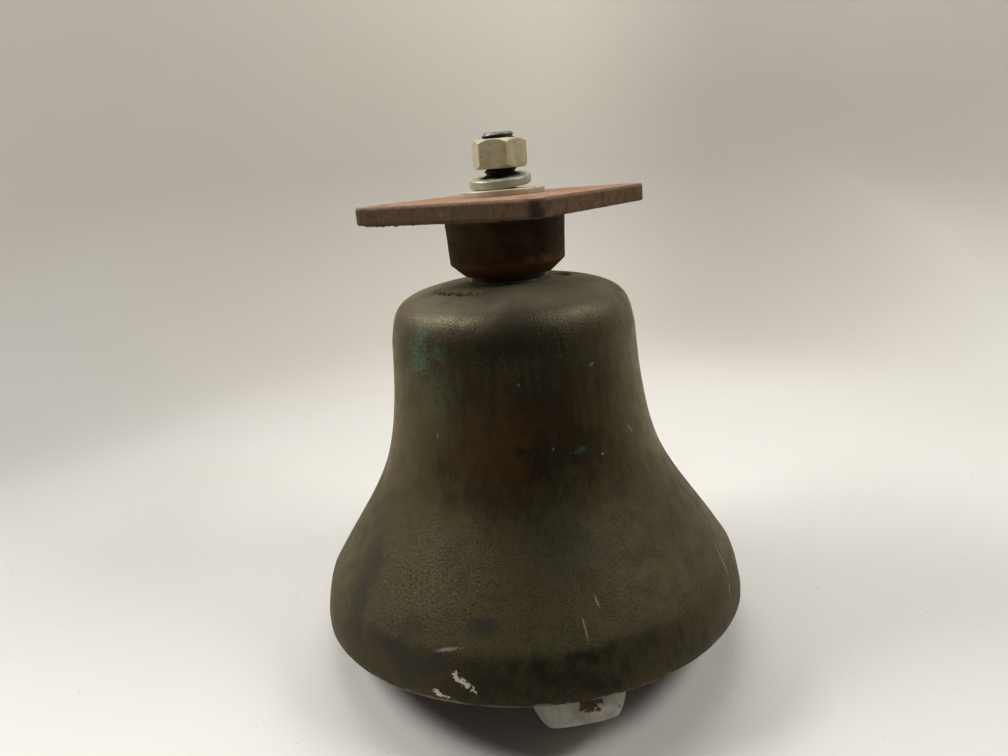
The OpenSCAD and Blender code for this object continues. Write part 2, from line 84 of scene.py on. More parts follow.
# Table and backdrop
# A plain pale table top, and behind it a sweep of pale paper that curves up into a wall. The bell
# stands on its rim at the back and on the clapper's ball in front, and the table touches both.
table_size = 8.0
sweep_start = 0.60
sweep_radius = 0.22
sweep_height = 0.80
sweep_half_arc = math.radians(82)
sweep_steps = 16
sweep_lift = 0.0005

clapper_turn = next(joint for joint in frame["joints"] if joint["name"] == "clapper_swing")
swing_out = Vector(clapper_turn["axis"]).cross(Vector((0, 0, 1))).normalized()
mouth_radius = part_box("bell")[1].x
standing_point = Vector((0, 0, rim_level)) - mouth_radius * swing_out
lean = max(
    math.atan2(rim_level - corner.co.z, corner.co @ swing_out + mouth_radius)
    for corner in frame["nodes"]["clapper_ball"].data.vertices
)
table_up = math.sin(lean) * swing_out + Vector((0, 0, math.cos(lean)))
along_table = (swing_out - swing_out.dot(table_up) * table_up).normalized()
under_the_bell = standing_point + mouth_radius * along_table
lean_over = Vector((0, 0, 1)).rotation_difference(table_up).to_matrix().to_4x4()
onto_table = Matrix.Translation(under_the_bell) @ lean_over


def edit_all():
    """Opens the active piece for editing, with all its points selected."""
    bpy.ops.object.mode_set(mode="EDIT")
    bpy.ops.mesh.select_mode(type="VERT")
    bpy.ops.mesh.select_all(action="SELECT")


def close_edit():
    """Turns all faces outwards and ends the editing."""
    bpy.ops.mesh.select_all(action="SELECT")
    bpy.ops.mesh.normals_make_consistent(inside=False)
    bpy.ops.object.mode_set(mode="OBJECT")


def draw_line(name, radius, level, steps):
    """A new piece open for editing: a line from that radius and level, drawn on in steps out and up."""
    bpy.ops.mesh.primitive_plane_add(size=0.001)
    bpy.context.object.name = name
    edit_all()
    bpy.ops.mesh.merge(type="CENTER")
    bpy.ops.transform.translate(value=(radius, 0, level))
    for out, up in steps:
        bpy.ops.mesh.extrude_region_move(TRANSFORM_OT_translate={"value": (out, 0, up)})
    return bpy.context.object


def add_node(tree, kind, inputs=None, **settings):
    """A shader node whose inputs are set to values or joined to other nodes' outputs."""
    made = tree.nodes.new(kind)
    for name, value in settings.items():
        setattr(made, name, value)
    for name, value in (inputs or {}).items():
        if isinstance(value, bpy.types.NodeSocket):
            tree.links.new(value, made.inputs[name])
        else:
            made.inputs[name].default_value = value
    return made


def start_finish(name, **sockets):
    """A new material, with the values that are the same all over set on its shader."""
    finish = bpy.data.materials.new(name)
    finish.use_nodes = True
    shader = finish.node_tree.nodes["Principled BSDF"]
    for socket, value in sockets.items():
        shader.inputs[socket.replace("_", " ")].default_value = value
    return finish


def give(socket, value):
    """Joins a value to one of the sockets of its material's shader."""
    value.id_data.links.new(value, value.id_data.nodes["Principled BSDF"].inputs[socket])


def surface(finish, kind="Object"):
    """Where a point lies on the piece, or with Normal which way it faces."""
    return add_node(finish.node_tree, "ShaderNodeTexCoord").outputs[kind]


def along(finish, direction, kind="Object"):
    """How far a point lies in a direction, or with Normal how much it faces that way."""
    made = add_node(finish.node_tree, "ShaderNodeVectorMath",
                    {0: surface(finish, kind), 1: direction}, operation="DOT_PRODUCT")
    return made.outputs["Value"]


def speckle(finish, size, detail=3.0, roughness=0.5, stretch=(1, 1, 1), shift=(0, 0, 0)):
    """Noise with blotches about size metres across, stretched along the object's own axes."""
    scale = [1 / (size * s) for s in stretch]
    mapped = add_node(finish.node_tree, "ShaderNodeMapping",
                      {"Vector": surface(finish), "Scale": scale, "Location": shift})
    noise = add_node(finish.node_tree, "ShaderNodeTexNoise",
                     {"Vector": mapped.outputs["Vector"], "Scale": 1.0, "Detail": detail,
                      "Roughness": roughness})
    return noise.outputs["Fac"]


def fade(value, start, end, low=0.0, high=1.0):
    """Value turned smoothly from low, at start, to high, at end."""
    made = add_node(value.id_data, "ShaderNodeMapRange",
                    {"Value": value, "From Min": start, "From Max": end, "To Min": low, "To Max": high},
                    interpolation_type="SMOOTHSTEP")
    return made.outputs["Result"]


def lay(amount, under, over):
    """The colour over laid on the colour under, by amount."""
    under, over = (colour if isinstance(colour, bpy.types.NodeSocket) else (*colour, 1)
                   for colour in (under, over))
    made = add_node(amount.id_data, "ShaderNodeMix", {0: amount, 6: under, 7: over}, data_type="RGBA")
    return made.outputs[2]


def combine(how, first, *others):
    """Values added, multiplied or compared, one after the other."""
    tree = next(value.id_data for value in (first, *others) if isinstance(value, bpy.types.NodeSocket))
    for other in others:
        first = add_node(tree, "ShaderNodeMath", {0: first, 1: other}, operation=how).outputs[0]
    return first


def plus(*values):
    """The sum of values."""
    return combine("ADD", *values)


def times(*values):
    """The product of values."""
    return combine("MULTIPLY", *values)


def most(*values):
    """The greatest of values."""
    return combine("MAXIMUM", *values)


def see_through_from_behind(finish):
    """Lets the view from behind a stage surface through, so the object shows from every side."""
    tree = finish.node_tree
    clear = add_node(tree, "ShaderNodeBsdfTransparent").outputs["BSDF"]
    behind = add_node(tree, "ShaderNodeNewGeometry").outputs["Backfacing"]
    either = add_node(tree, "ShaderNodeMixShader",
                      {0: behind, 1: tree.nodes["Principled BSDF"].outputs["BSDF"], 2: clear})
    tree.links.new(either.outputs["Shader"], tree.nodes["Material Output"].inputs["Surface"])


# The paper is darker up the wall; to the right of the bell it is darker still, as painted shade
paper = start_finish("pale_paper", Roughness=0.6)
wall_share = most(fade(along(paper, table_up), 0.0, 0.35), fade(along(paper, ahead), 0.30, 0.62, 0.0, 0.8))
right_painted_shade = times(wall_share, fade(along(paper, picture_right), 0.00, 0.32))
paper_tone = lay(wall_share, (0.745, 0.735, 0.715), (0.68, 0.65, 0.595))
paper_tone = lay(right_painted_shade, paper_tone, (0.47, 0.445, 0.405))
paper_tone = lay(fade(speckle(paper, 0.15, 5), 0.4, 0.75, 0.0, 0.10), paper_tone, (0.62, 0.59, 0.54))
paper_dots = fade(speckle(paper, 0.004, 1), 0.77, 0.80, 0.0, 0.5)
give("Base Color", lay(paper_dots, paper_tone, (0.45, 0.43, 0.40)))
see_through_from_behind(paper)

bpy.ops.mesh.primitive_plane_add(size=table_size)
table = bpy.context.object
table.name = "table_top"
table.data.transform(onto_table)
table.data.materials.append(paper)

turns = [math.pi / 2 * step / sweep_steps for step in range(sweep_steps + 1)]
sweep_line = [(sweep_radius * (math.sin(after) - math.sin(before)),
               sweep_radius * (math.cos(before) - math.cos(after)))
              for before, after in zip(turns, turns[1:])]
sweep_line += [(0, sweep_height - sweep_radius)]
sweep = draw_line("paper_sweep", sweep_start, sweep_lift, sweep_line)
bpy.ops.mesh.select_all(action="SELECT")
bpy.ops.mesh.spin(steps=64, angle=2 * sweep_half_arc, center=(0, 0, 0), axis=(0, 0, 1))
close_edit()
bpy.ops.object.transform_apply(location=True, rotation=True, scale=True)
bpy.ops.object.shade_smooth()
middle = sum((corner.co for corner in sweep.data.vertices), Vector())
behind_bell = math.atan2(ahead.y, ahead.x) - math.atan2(middle.y, middle.x)
sweep.data.transform(onto_table @ Matrix.Rotation(behind_bell, 4, "Z"))
over_the_bell = Vector((0, 0, rim_level + 0.5))
if sum(face.normal @ (over_the_bell - face.center) for face in sweep.data.polygons) < 0:
    sweep.data.flip_normals()
sweep.data.materials.append(paper)

# Studio light
# Two soft lights stand left and right of the bell and give the two highlights on its shoulder.
# A wide one hangs overhead, behind the bell, so the side towards the camera stays in soft shade.
light_colour = (1.0, 0.975, 0.93)
room_colour = (0.40, 0.38, 0.35)
room_strength = 0.155
seen_colour = (0.52, 0.49, 0.45)
aim_height = 0.15

room = bpy.data.worlds.new("room")
room.use_nodes = True
bpy.context.scene.world = room
room_light = room.node_tree.nodes["Background"]
room_light.inputs["Color"].default_value = (*room_colour, 1)
room_light.inputs["Strength"].default_value = room_strength
seen_room = add_node(room.node_tree, "ShaderNodeBackground", {"Color": (*seen_colour, 1), "Strength": 1.0})
camera_ray = add_node(room.node_tree, "ShaderNodeLightPath").outputs["Is Camera Ray"]
either_room = add_node(room.node_tree, "ShaderNodeMixShader", {
    0: camera_ray, 1: room_light.outputs["Background"], 2: seen_room.outputs["Background"]})
room.node_tree.links.new(either_room.outputs["Shader"],
                         room.node_tree.nodes["World Output"].inputs["Surface"])


def hang_light(name, heading, elevation, reach, width, length, power):
    """A rectangular soft light that looks at the bell from that heading and elevation, in degrees."""
    data = bpy.data.lights.new(name, "AREA")
    data.shape = "RECTANGLE"
    data.size = width
    data.size_y = length
    data.energy = power
    data.color = light_colour
    lamp = bpy.data.objects.new(name, data)
    bpy.context.scene.collection.objects.link(lamp)
    heading, elevation = math.radians(heading), math.radians(elevation)
    flat = math.cos(elevation)
    away = Vector((flat * math.cos(heading), flat * math.sin(heading), math.sin(elevation)))
    aim = Vector((0, 0, rim_level + aim_height))
    turned = away.to_track_quat("Z", "Y").to_matrix().to_4x4()
    lamp.matrix_world = Matrix.Translation(aim + reach * away) @ turned


hang_light("overhead_light", heading=124, elevation=70, reach=1.5, width=1.2, length=1.2, power=12.5)
hang_light("left_light", heading=-146, elevation=43, reach=1.4, width=0.60, length=0.40, power=20.8)
hang_light("right_light", heading=20, elevation=41, reach=1.4, width=0.55, length=0.36, power=9.8)

# Bell
# One bronze casting, bored at the crown for the stud. The outside keeps the pebbled skin of the
# mould under a dark olive-brown patina; the inside is the dull red-brown of old primer.
widest_height = 0.006
lip_height = 0.030
lip_draw_in = 0.0058
waist_height = 0.196
waist_radius = 0.0850
crown_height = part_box("bell")[1].z - rim_level
crown_thickness = 0.0135
crown_inner_height = crown_height - crown_thickness
crown_flat_radius = 0.032
inner_flat_radius = 0.048
stud_hole_radius = 0.0119
rim_roundness = 0.0012
rim_thickness = 0.0064
bow_thickness = 0.0214
wall_thickness = 0.0088
primer_margin = 0.002
bell_steps = 288


def curve(start, first, second, end, steps):
    """Points along a cubic curve, without its first point."""
    points = []
    for i in range(1, steps + 1):
        t = i / steps
        weights = ((1 - t) ** 3, 3 * t * (1 - t) ** 2, 3 * t * t * (1 - t), t ** 3)
        points.append(tuple(
            sum(w * p[axis] for w, p in zip(weights, (start, first, second, end))) for axis in (0, 1)))
    return points


def arc(centre, radius, start, end, steps):
    """Points along an arc from angle start to angle end, in degrees."""
    angles = [math.radians(start + (end - start) * i / steps) for i in range(steps + 1)]
    return [(centre[0] + radius * math.cos(a), centre[1] + radius * math.sin(a)) for a in angles]


def spin_outline(name, outline, steps):
    """A solid turned about the bell's axis from points: radius, height over the rim."""
    line = [(there[0] - here[0], there[1] - here[1]) for here, there in zip(outline, outline[1:])]
    piece = draw_line(name, outline[0][0], rim_level + outline[0][1], line)
    bpy.ops.mesh.select_all(action="SELECT")
    bpy.ops.mesh.spin(steps=steps, angle=math.tau, center=(0, 0, 0), axis=(0, 0, 1))
    bpy.ops.mesh.select_all(action="SELECT")
    bpy.ops.mesh.remove_doubles(threshold=0.000002)
    close_edit()
    bpy.ops.object.transform_apply(location=True, rotation=True, scale=True)
    bpy.ops.object.shade_smooth_by_angle(angle=math.radians(35))
    return piece


def dent_skin(piece, name, size, depth):
    """The uneven skin of a casting. It only sinks in, so the piece keeps its size."""
    texture = bpy.data.textures.new(name, "CLOUDS")
    texture.noise_scale = size
    texture.noise_depth = 2
    skin = piece.modifiers.new(name, "DISPLACE")
    skin.texture = texture
    skin.texture_coords = "LOCAL"
    skin.strength = depth
    skin.mid_level = 1.0
    bpy.ops.object.modifier_apply(modifier=name)


mouth_edge = (mouth_radius, widest_height)
crease = (mouth_radius - lip_draw_in, lip_height)
waist = (waist_radius, waist_height)
shoulder_end = (waist_radius - 0.040, crown_height - 0.0003)
bow = (mouth_radius - bow_thickness, 0.022)
bow_top = (bow[0] - 0.0026, 0.032)
inner_waist = (waist_radius - wall_thickness, waist_height)
outside = arc((mouth_radius - rim_roundness, rim_roundness), rim_roundness, -90, 0, 5)
outside += [mouth_edge]
outside += curve(mouth_edge, (mouth_radius - 0.0012, 0.014), (mouth_radius - 0.0028, 0.023), crease, 14)
outside += curve(crease, (mouth_radius - 0.0472, lip_height + 0.066),
                 (waist_radius + 0.0047, lip_height + 0.068), waist, 90)
outside += curve(waist, (waist_radius - 0.0033, waist_height + 0.0195),
                 (waist_radius - 0.0030, crown_height - 0.006), shoulder_end, 40)
outside += [(0.038, crown_height - 0.0001), (crown_flat_radius, crown_height), (0.022, crown_height),
            (stud_hole_radius, crown_height)]
inside = [(stud_hole_radius, crown_inner_height), (inner_flat_radius, crown_inner_height)]
inside += curve((inner_flat_radius + 0.002, crown_inner_height), (0.068, crown_inner_height),
                (inner_waist[0] - 0.002, crown_inner_height - 0.007), inner_waist, 20)
inside += curve(inner_waist, (inner_waist[0] + 0.0046, 0.095), (mouth_radius - 0.060, 0.087), bow_top, 44)
inside += [bow, (mouth_radius - rim_thickness, 0.0), outside[0]]

bell = spin_outline("bell_casting", outside + inside, bell_steps)
dent_skin(bell, "slow_waves", size=0.030, depth=0.0005)

# Where the sand broke away the crown has small pits: heading in degrees, radius, depth
crown_pits = (
    (-121, 0.0535, 0.0008), (-113, 0.0530, 0.0013), (-106, 0.0526, 0.0016), (-102.5, 0.0522, 0.0011),
    (-95, 0.0517, 0.0016), (-91.5, 0.0518, 0.0012), (-84.5, 0.0514, 0.0018), (-81.5, 0.0510, 0.0012),
    (-147, 0.0430, 0.0012), (31, 0.0405, 0.0012), (38, 0.0412, 0.0015), (44, 0.0404, 0.0012),
    (50, 0.0414, 0.0014),
)
pit_pull = 1.5
pit_reach = 0.0028
bpy.context.view_layer.objects.active = bell
for heading, radius, depth in crown_pits:
    turn = math.radians(heading)
    place = Vector((radius * math.cos(turn), radius * math.sin(turn), rim_level + crown_height))
    bpy.ops.object.mode_set(mode="OBJECT")
    for group in (bell.data.polygons, bell.data.edges):
        group.foreach_set("select", [False] * len(group))
    nearest = min(bell.data.vertices, key=lambda corner: (corner.co - place).length)
    for corner in bell.data.vertices:
        corner.select = corner.index == nearest.index
    bpy.ops.object.mode_set(mode="EDIT")
    bpy.ops.mesh.select_mode(type="VERT")
    bpy.ops.transform.translate(value=(0, 0, -pit_pull * depth), use_proportional_edit=True,
                                proportional_edit_falloff="SPHERE", proportional_size=pit_reach)
bpy.ops.object.mode_set(mode="OBJECT")


def radius_at(height):
    """The radius of the bell's outside at a height over the rim."""
    low, high = next((a, b) for a, b in zip(outside, outside[1:]) if a[1] <= height <= b[1])
    return low[0] + (high[0] - low[0]) * (height - low[1]) / max(high[1] - low[1], 1e-6)


def reach_from(finish, place, size, turn=(0, 0, 0)):
    """How far a point is from the middle of an oval, which is 1 on the oval's edge."""
    mapped = add_node(finish.node_tree, "ShaderNodeMapping",
                      {"Vector": surface(finish), "Location": place, "Rotation": turn, "Scale": size},
                      vector_type="TEXTURE")
    made = add_node(finish.node_tree, "ShaderNodeVectorMath", {0: mapped.outputs["Vector"]},
                    operation="LENGTH")
    return made.outputs["Value"]


def raise_skin(height, strength, distance):
    """Gives a material small bumps, distance metres high."""
    bump = add_node(height.id_data, "ShaderNodeBump",
                    {"Strength": strength, "Distance": distance, "Height": height})
    give("Normal", bump.outputs["Normal"])


bronze = start_finish("bronze_patina", Specular_IOR_Level=0.42, Specular_Tint=(1.0, 0.88, 0.62, 1))
height = plus(along(bronze, (0, 0, 1)), -rim_level)
broad = speckle(bronze, 0.045, 4)
middling = speckle(bronze, 0.011, 4, shift=(3, 7, 1))
fine = speckle(bronze, 0.0024, 3, 0.6, shift=(9, 2, 5))
grit = speckle(bronze, 0.0009, 2, 0.6, shift=(2, 8, 4))
streaks = speckle(bronze, 0.0035, 3, stretch=(1, 1, 18), shift=(5, 1, 2))

# How much the noise moves the edge of a patch
fine_ragged = fade(fine, 0.2, 0.8, -0.9, 0.9)
grit_ragged = fade(grit, 0.2, 0.8, -0.9, 0.9)
broad_ragged = fade(middling, 0.2, 0.8, -0.8, 0.8)
stain_ragged = plus(fade(broad, 0.25, 0.75, -0.6, 0.6), fade(streaks, 0.25, 0.75, -0.3, 0.3))
green_ragged = plus(broad_ragged, fine_ragged)
scrape_ragged = plus(times(fine_ragged, 1.3), times(grit_ragged, 0.7))


def patch(ragged, soft, heading, height, across, tall, turn=0, share=1, radius=None, deep=0.05):
    """From 0 to share within an oval on the bell, with a soft edge made ragged by that noise."""
    radius = radius or radius_at(height)
    heading = math.radians(heading)
    place = (radius * math.cos(heading), radius * math.sin(heading), rim_level + height)
    reach = reach_from(bronze, place, (deep, across, tall), (math.radians(turn), 0, heading))
    return fade(plus(reach, ragged), 1 + soft, 1 - soft, 0, share)


def patches(ragged, soft, *ovals):
    """Several patches: heading, height over the rim, width and height, then their turn and share."""
    return most(*(patch(ragged, soft, *oval) for oval in ovals))


# The skin: pebbled on the shoulder and the skirt, worn smooth round the waist and the lip
pebbles = plus(times(speckle(bronze, 0.0012, 3, 0.65, shift=(1, 4, 9)), 0.7),
               times(speckle(bronze, 0.00065, 2, 0.6, shift=(6, 2, 3)), 0.3))
uneven_height = plus(height, fade(broad, 0.3, 0.7, -0.013, 0.013))
on_shoulder = fade(uneven_height, 0.160, 0.190)
on_skirt = fade(uneven_height, 0.114, 0.086)
above_lip = fade(height, 0.024, 0.034, 0.25, 1.0)
pebbled = times(most(on_shoulder, on_skirt), above_lip)
on_crown = fade(height, 0.216, 0.226)

# Olive bronze with brown areas
tone = lay(fade(broad, 0.36, 0.64), (0.090, 0.080, 0.035), (0.068, 0.053, 0.022))
tone = lay(fade(middling, 0.45, 0.8, 0.0, 0.20), tone, (0.030, 0.024, 0.013))
tone = lay(fade(streaks, 0.35, 0.75, 0.0, 0.35), tone, (0.045, 0.033, 0.015))

# The skirt is a little greyer and darker than the waist, most of all at the left
left_skirt = patch(broad_ragged, 0.9, -103, 0.045, 0.045, 0.045, 0, 0.5)
tone = lay(most(times(on_skirt, 0.35), left_skirt), tone, (0.034, 0.031, 0.020))

# Dark patches: the two down the front, towards the camera, are painted shade; the three at the sides and back
# are stains
stain_and_front_shade = most(patches(stain_ragged, 0.9, (125, 0.165, 0.060, 0.050, 0, 0.8), (65, 0.075, 0.070, 0.030, 0, 0.6),
                     (185, 0.090, 0.060, 0.045, 0, 0.6), (-50, 0.160, 0.062, 0.066)),
             patch(stain_ragged, 0.8, -60, 0.199, 0.074, 0.028, 0, 0.95))
tone = lay(times(stain_and_front_shade, 0.92), tone, (0.014, 0.0075, 0.0025))

# Dark stain round the lip, deepened at the front and front left as painted shade
ragged_height = plus(height, fade(middling, 0.3, 0.7, -0.0020, 0.0020), fade(fine, 0.3, 0.7, -0.0015, 0.0015))
lip_share_and_front_shade = most(0.42, patch(broad_ragged, 0.8, -104, 0.014, 0.060, 0.045, 0, 0.85),
                patch(stain_ragged, 0.9, -56, 0.018, 0.115, 0.060))
lip_stain_and_shade = times(fade(ragged_height, 0.037, 0.023), lip_share_and_front_shade, fade(middling, 0.3, 0.6, 1.0, 0.75))
lip_tone = lay(times(fade(middling, 0.42, 0.60), fade(fine, 0.35, 0.60)),
               (0.007, 0.0042, 0.0018), (0.026, 0.0155, 0.006))
tone = lay(lip_stain_and_shade, tone, lip_tone)

# Light tan bronze shows on top of the pebbles at the lower left, with black between them
tan_area = most(patch(broad_ragged, 0.9, -90, 0.056, 0.038, 0.036),
                patch(broad_ragged, 0.6, -119, 0.032, 0.012, 0.010))
grains = plus(times(pebbles, 0.45), times(grit, 0.55))
tone = lay(times(tan_area, fade(grains, 0.44, 0.56)), tone, (0.078, 0.057, 0.028))
on_top = times(pebbled, fade(pebbles, 0.52, 0.64), fade(broad, 0.3, 0.7, 0.2, 0.6),
               fade(stain_and_front_shade, 0.0, 1.0, 1.0, 0.25))
tone = lay(on_top, tone, (0.098, 0.086, 0.056))
between = times(pebbled, fade(grains, 0.525, 0.445),
                most(on_shoulder, tan_area, fade(middling, 0.35, 0.65, 0.15, 0.75)))
tone = lay(times(between, 0.80), tone, (0.010, 0.008, 0.005))

# Blue-black stains
blue = most(patches(broad_ragged, 0.8, (-111, 0.046, 0.009, 0.030, 12), (-89, 0.022, 0.022, 0.010, -12),
                    (-89, 0.036, 0.006, 0.006), (-82, 0.081, 0.007, 0.009, 0, 0.6),
                    (-80, 0.1085, 0.013, 0.005, 0, 0.6), (-29, 0.0292, 0.009, 0.006, 0, 0.6),
                    (100, 0.050, 0.016, 0.024, 10), (200, 0.030, 0.026, 0.012)),
            patch(stain_ragged, 0.6, -70.5, 0.0442, 0.010, 0.004),
            patch(broad_ragged, 0.9, -42, 0.084, 0.028, 0.020, 0, 0.45))
tone = lay(times(blue, 0.72), tone, (0.020, 0.020, 0.018))

# Orange-brown where the waist was rubbed, and dark spots beside it
rubbed = patch(broad_ragged, 0.9, -66, 0.142, 0.020, 0.022)
tone = lay(times(rubbed, 0.55), tone, (0.075, 0.036, 0.010))
spots = most(patch(fine_ragged, 0.7, -49.6, 0.130, 0.007, 0.010),
             patch(fine_ragged, 0.6, -57.0, 0.136, 0.0025, 0.0035))
tone = lay(times(spots, 0.8), tone, (0.010, 0.006, 0.005))

# Verdigris in the hollows high on both sides
green = most(patches(green_ragged, 0.9, (-100.0, 0.207, 0.0050, 0.007), (-103.5, 0.193, 0.0062, 0.012, 6),
                     (-90.0, 0.197, 0.0036, 0.0055, 0, 0.55), (-93.0, 0.173, 0.0110, 0.0110, 0, 0.3),
                     (4.5, 0.2115, 0.0036, 0.0060, 0, 0.8), (110, 0.199, 0.0090, 0.010),
                     (215, 0.190, 0.0050, 0.014)),
             patch(green_ragged, 0.8, -33.5, 0.1318, 0.0038, 0.0016, 0, 0.6))
tone = lay(times(green, fade(grit, 0.40, 0.62, 0.12, 0.95)), tone, (0.062, 0.150, 0.100))

# Dust lies on the crown and thins out over the shoulder
settled = most(on_crown, fade(height, 0.200, 0.224, 0.0, 0.40))
tone = lay(times(settled, fade(broad, 0.35, 0.6, 0.35, 0.8)), tone, (0.200, 0.186, 0.130))

# Scratches and knocks down to pale metal
scratch = patches(grit_ragged, 0.5, (-5.0, 0.1347, 0.0035, 0.0006, -55), (-44.3, 0.040, 0.0005, 0.0045, 3),
                  (-39.8, 0.0516, 0.0006, 0.0028, 12), (-23.0, 0.1831, 0.0013, 0.0006, 20),
                  (-55.5, 0.1771, 0.0005, 0.0008), (-92.5, 0.1446, 0.0005, 0.0014),
                  (-44.0, 0.1358, 0.0004, 0.0009, -14), (-23.5, 0.1264, 0.0009, 0.0005),
                  (4.9, 0.0208, 0.004, 0.0009, 60), (9.2, 0.0363, 0.010, 0.0008, 62))
tone = lay(times(scratch, 0.6), tone, (0.28, 0.26, 0.20))

# White paint scraped off something else, on the lip
paint = most(patches(scrape_ragged, 0.25, (-75.2, 0.0172, 0.0030, 0.0014, -40),
                     (-73.3, 0.0140, 0.0046, 0.0016, -38), (-70.9, 0.0096, 0.0028, 0.0007, -36),
                     (-79.6, 0.0050, 0.0048, 0.0013, -14)),
             patch(grit_ragged, 0.5, -78.0, 0.0315, 0.0060, 0.0008, 12, 0.30))
tone = lay(paint, tone, (0.62, 0.57, 0.53))

# Black dirt in the crown's pits
dirt = most(*(
    patch(grit_ragged, 0.40, heading, crown_height, 0.0018, 0.01, radius=radius, deep=0.0022)
    for heading, radius, depth in crown_pits))
tone = lay(dirt, tone, (0.008, 0.006, 0.004))

# The rim's edge is rubbed bright
bare_edge = fade(plus(height, fade(middling, 0.3, 0.7, -0.0012, 0.0012)), 0.0017, 0.0007)
give("Base Color", lay(times(bare_edge, 0.5), tone, (0.24, 0.22, 0.17)))
give("Metallic", fade(dirt, 0.0, 1.0, 0.42, 1.0))
give("Roughness", plus(fade(middling, 0.3, 0.7, 0.39, 0.50), times(lip_stain_and_shade, 0.12), times(on_skirt, 0.07),
                       times(dirt, 0.5), times(on_crown, 0.28), times(on_shoulder, -0.115),
                       times(paint, 0.25)))
raise_skin(plus(times(pebbled, pebbles, fade(height, 0.15, 0.19, 1.0, 1.5)), times(fine, 0.22),
                times(scratch, -0.4)), 0.9, 0.00045)

primer = start_finish("old_primer", Roughness=0.75)
primer_tone = lay(fade(speckle(primer, 0.03, 5), 0.35, 0.65), (0.200, 0.050, 0.026), (0.115, 0.042, 0.022))
primer_spots = fade(speckle(primer, 0.006, 4, shift=(4, 4, 4)), 0.52, 0.72, 0.0, 0.8)
give("Base Color", lay(primer_spots, primer_tone, (0.030, 0.020, 0.013)))
raise_skin(speckle(primer, 0.002, 3), 0.5, 0.0003)

# The inside has the primer, from just over the rim up to the underside of the crown
bell.data.materials.append(bronze)
bell.data.materials.append(primer)
for face in bell.data.polygons:
    outwards = Vector((face.center.x, face.center.y, 0)).normalized()
    inwards_or_down = face.normal @ outwards < -0.2 or face.normal.z < -0.9
    if inwards_or_down and primer_margin < face.center.z - rim_level < crown_inner_height + primer_margin:
        face.material_index = 1
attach(bell, "bell_body")
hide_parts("bell")


# Gasket and washer under the hub
# A hard rubber ring on a thin steel washer keeps the iron hub off the bell's crown. They show as a
# dark red-brown ring over one bright line.
def plain_finish(name, colour, worn_colour, size, roughness, **sockets):
    """A finish with worn blotches, for small pieces."""
    finish = start_finish(name, **sockets)
    blotches = speckle(finish, size, 4)
    give("Base Color", lay(fade(blotches, 0.38, 0.66), colour, worn_colour))
    give("Roughness", fade(blotches, 0.3, 0.7, roughness - 0.08, roughness + 0.10))
    raise_skin(speckle(finish, size / 8, 2), 0.35, 0.0001)
    return finish


def finish_node(name, finish):
    """A piece whose solid has the right shape already: it keeps its mesh and gets its finish."""
    piece = frame["nodes"][name]
    for place in range(len(piece.material_slots)):
        piece.material_slots[place].link = "OBJECT"
        piece.material_slots[place].material = finish
    return piece


red_rubber = plain_finish("red_rubber", (0.030, 0.010, 0.008), (0.060, 0.022, 0.015), 0.006, 0.55)
thin_steel = plain_finish("thin_steel", (0.20, 0.19, 0.17), (0.09, 0.075, 0.06), 0.004, 0.35, Metallic=0.8)
finish_node("hub_gasket", red_rubber)
finish_node("hub_washer", thin_steel)

# Mounting bracket
# One rough iron casting: a square plate on a round hub with a chamfer at its foot, bored for the
# stud and drilled at the corners. It is red with rust on top, and its hub is nearly black, partly
# as painted shade under the plate.
hub_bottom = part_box("mounting_bracket")[0].z - rim_level
plate_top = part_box("mounting_bracket")[1].z - rim_level
plate_width = 0.146
plate_thickness = 0.0124
plate_corner = 0.010
plate_edge = 0.0018
bolt_spacing = 0.1143
bolt_hole = 0.0135
hub_top_radius = 0.0411
hub_shoulder_radius = 0.0397
hub_bottom_radius = 0.0304
hub_chamfer = 0.0083
hub_fillet = 0.004
hub_overlap = 0.003
drill_spare = 0.01
spot_face_radius = 0.0305
spot_face_depth = 0.0005
bracket_grain = 0.00096
plate_bottom = plate_top - plate_thickness


def edit_edges(piece, wanted):
    """Opens the piece for editing with the edges selected whose two ends are as wanted."""
    bpy.context.view_layer.objects.active = piece
    bpy.ops.object.mode_set(mode="EDIT")
    bpy.ops.mesh.select_mode(type="EDGE")
    bpy.ops.mesh.select_all(action="DESELECT")
    bpy.ops.object.mode_set(mode="OBJECT")
    for edge in piece.data.edges:
        edge.select = wanted(*(piece.data.vertices[end].co for end in edge.vertices))
    bpy.ops.object.mode_set(mode="EDIT")


def join_solids(piece, tool, how):
    """Adds the tool's solid to the piece, cuts it away, or keeps what they share."""
    boolean = piece.modifiers.new("join", "BOOLEAN")
    boolean.operation = how
    boolean.object = tool
    boolean.solver = "EXACT"
    bpy.context.view_layer.objects.active = piece
    bpy.ops.object.modifier_apply(modifier="join")
    bpy.data.objects.remove(tool)


def round_bar(radius, low, high, x=0.0, y=0.0, sides=64):
    """A plain round bar, used to bore holes. Its ends are heights over the rim."""
    bpy.ops.mesh.primitive_cylinder_add(vertices=sides, radius=radius, depth=high - low,
                                        location=(x, y, rim_level + (low + high) / 2))
    bpy.ops.object.transform_apply(location=True, rotation=True, scale=True)
    return bpy.context.object


def recast(piece, voxel, smoothing=0):
    """One closed skin of small even faces, with its sharp edges softened as on a casting."""
    remesh = piece.modifiers.new("recast", "REMESH")
    remesh.mode = "VOXEL"
    remesh.voxel_size = voxel
    remesh.use_smooth_shade = True
    bpy.context.view_layer.objects.active = piece
    bpy.ops.object.modifier_apply(modifier="recast")
    if smoothing:
        smooth = piece.modifiers.new("soften", "SMOOTH")
        smooth.factor = 0.5
        smooth.iterations = smoothing
        bpy.ops.object.modifier_apply(modifier="soften")


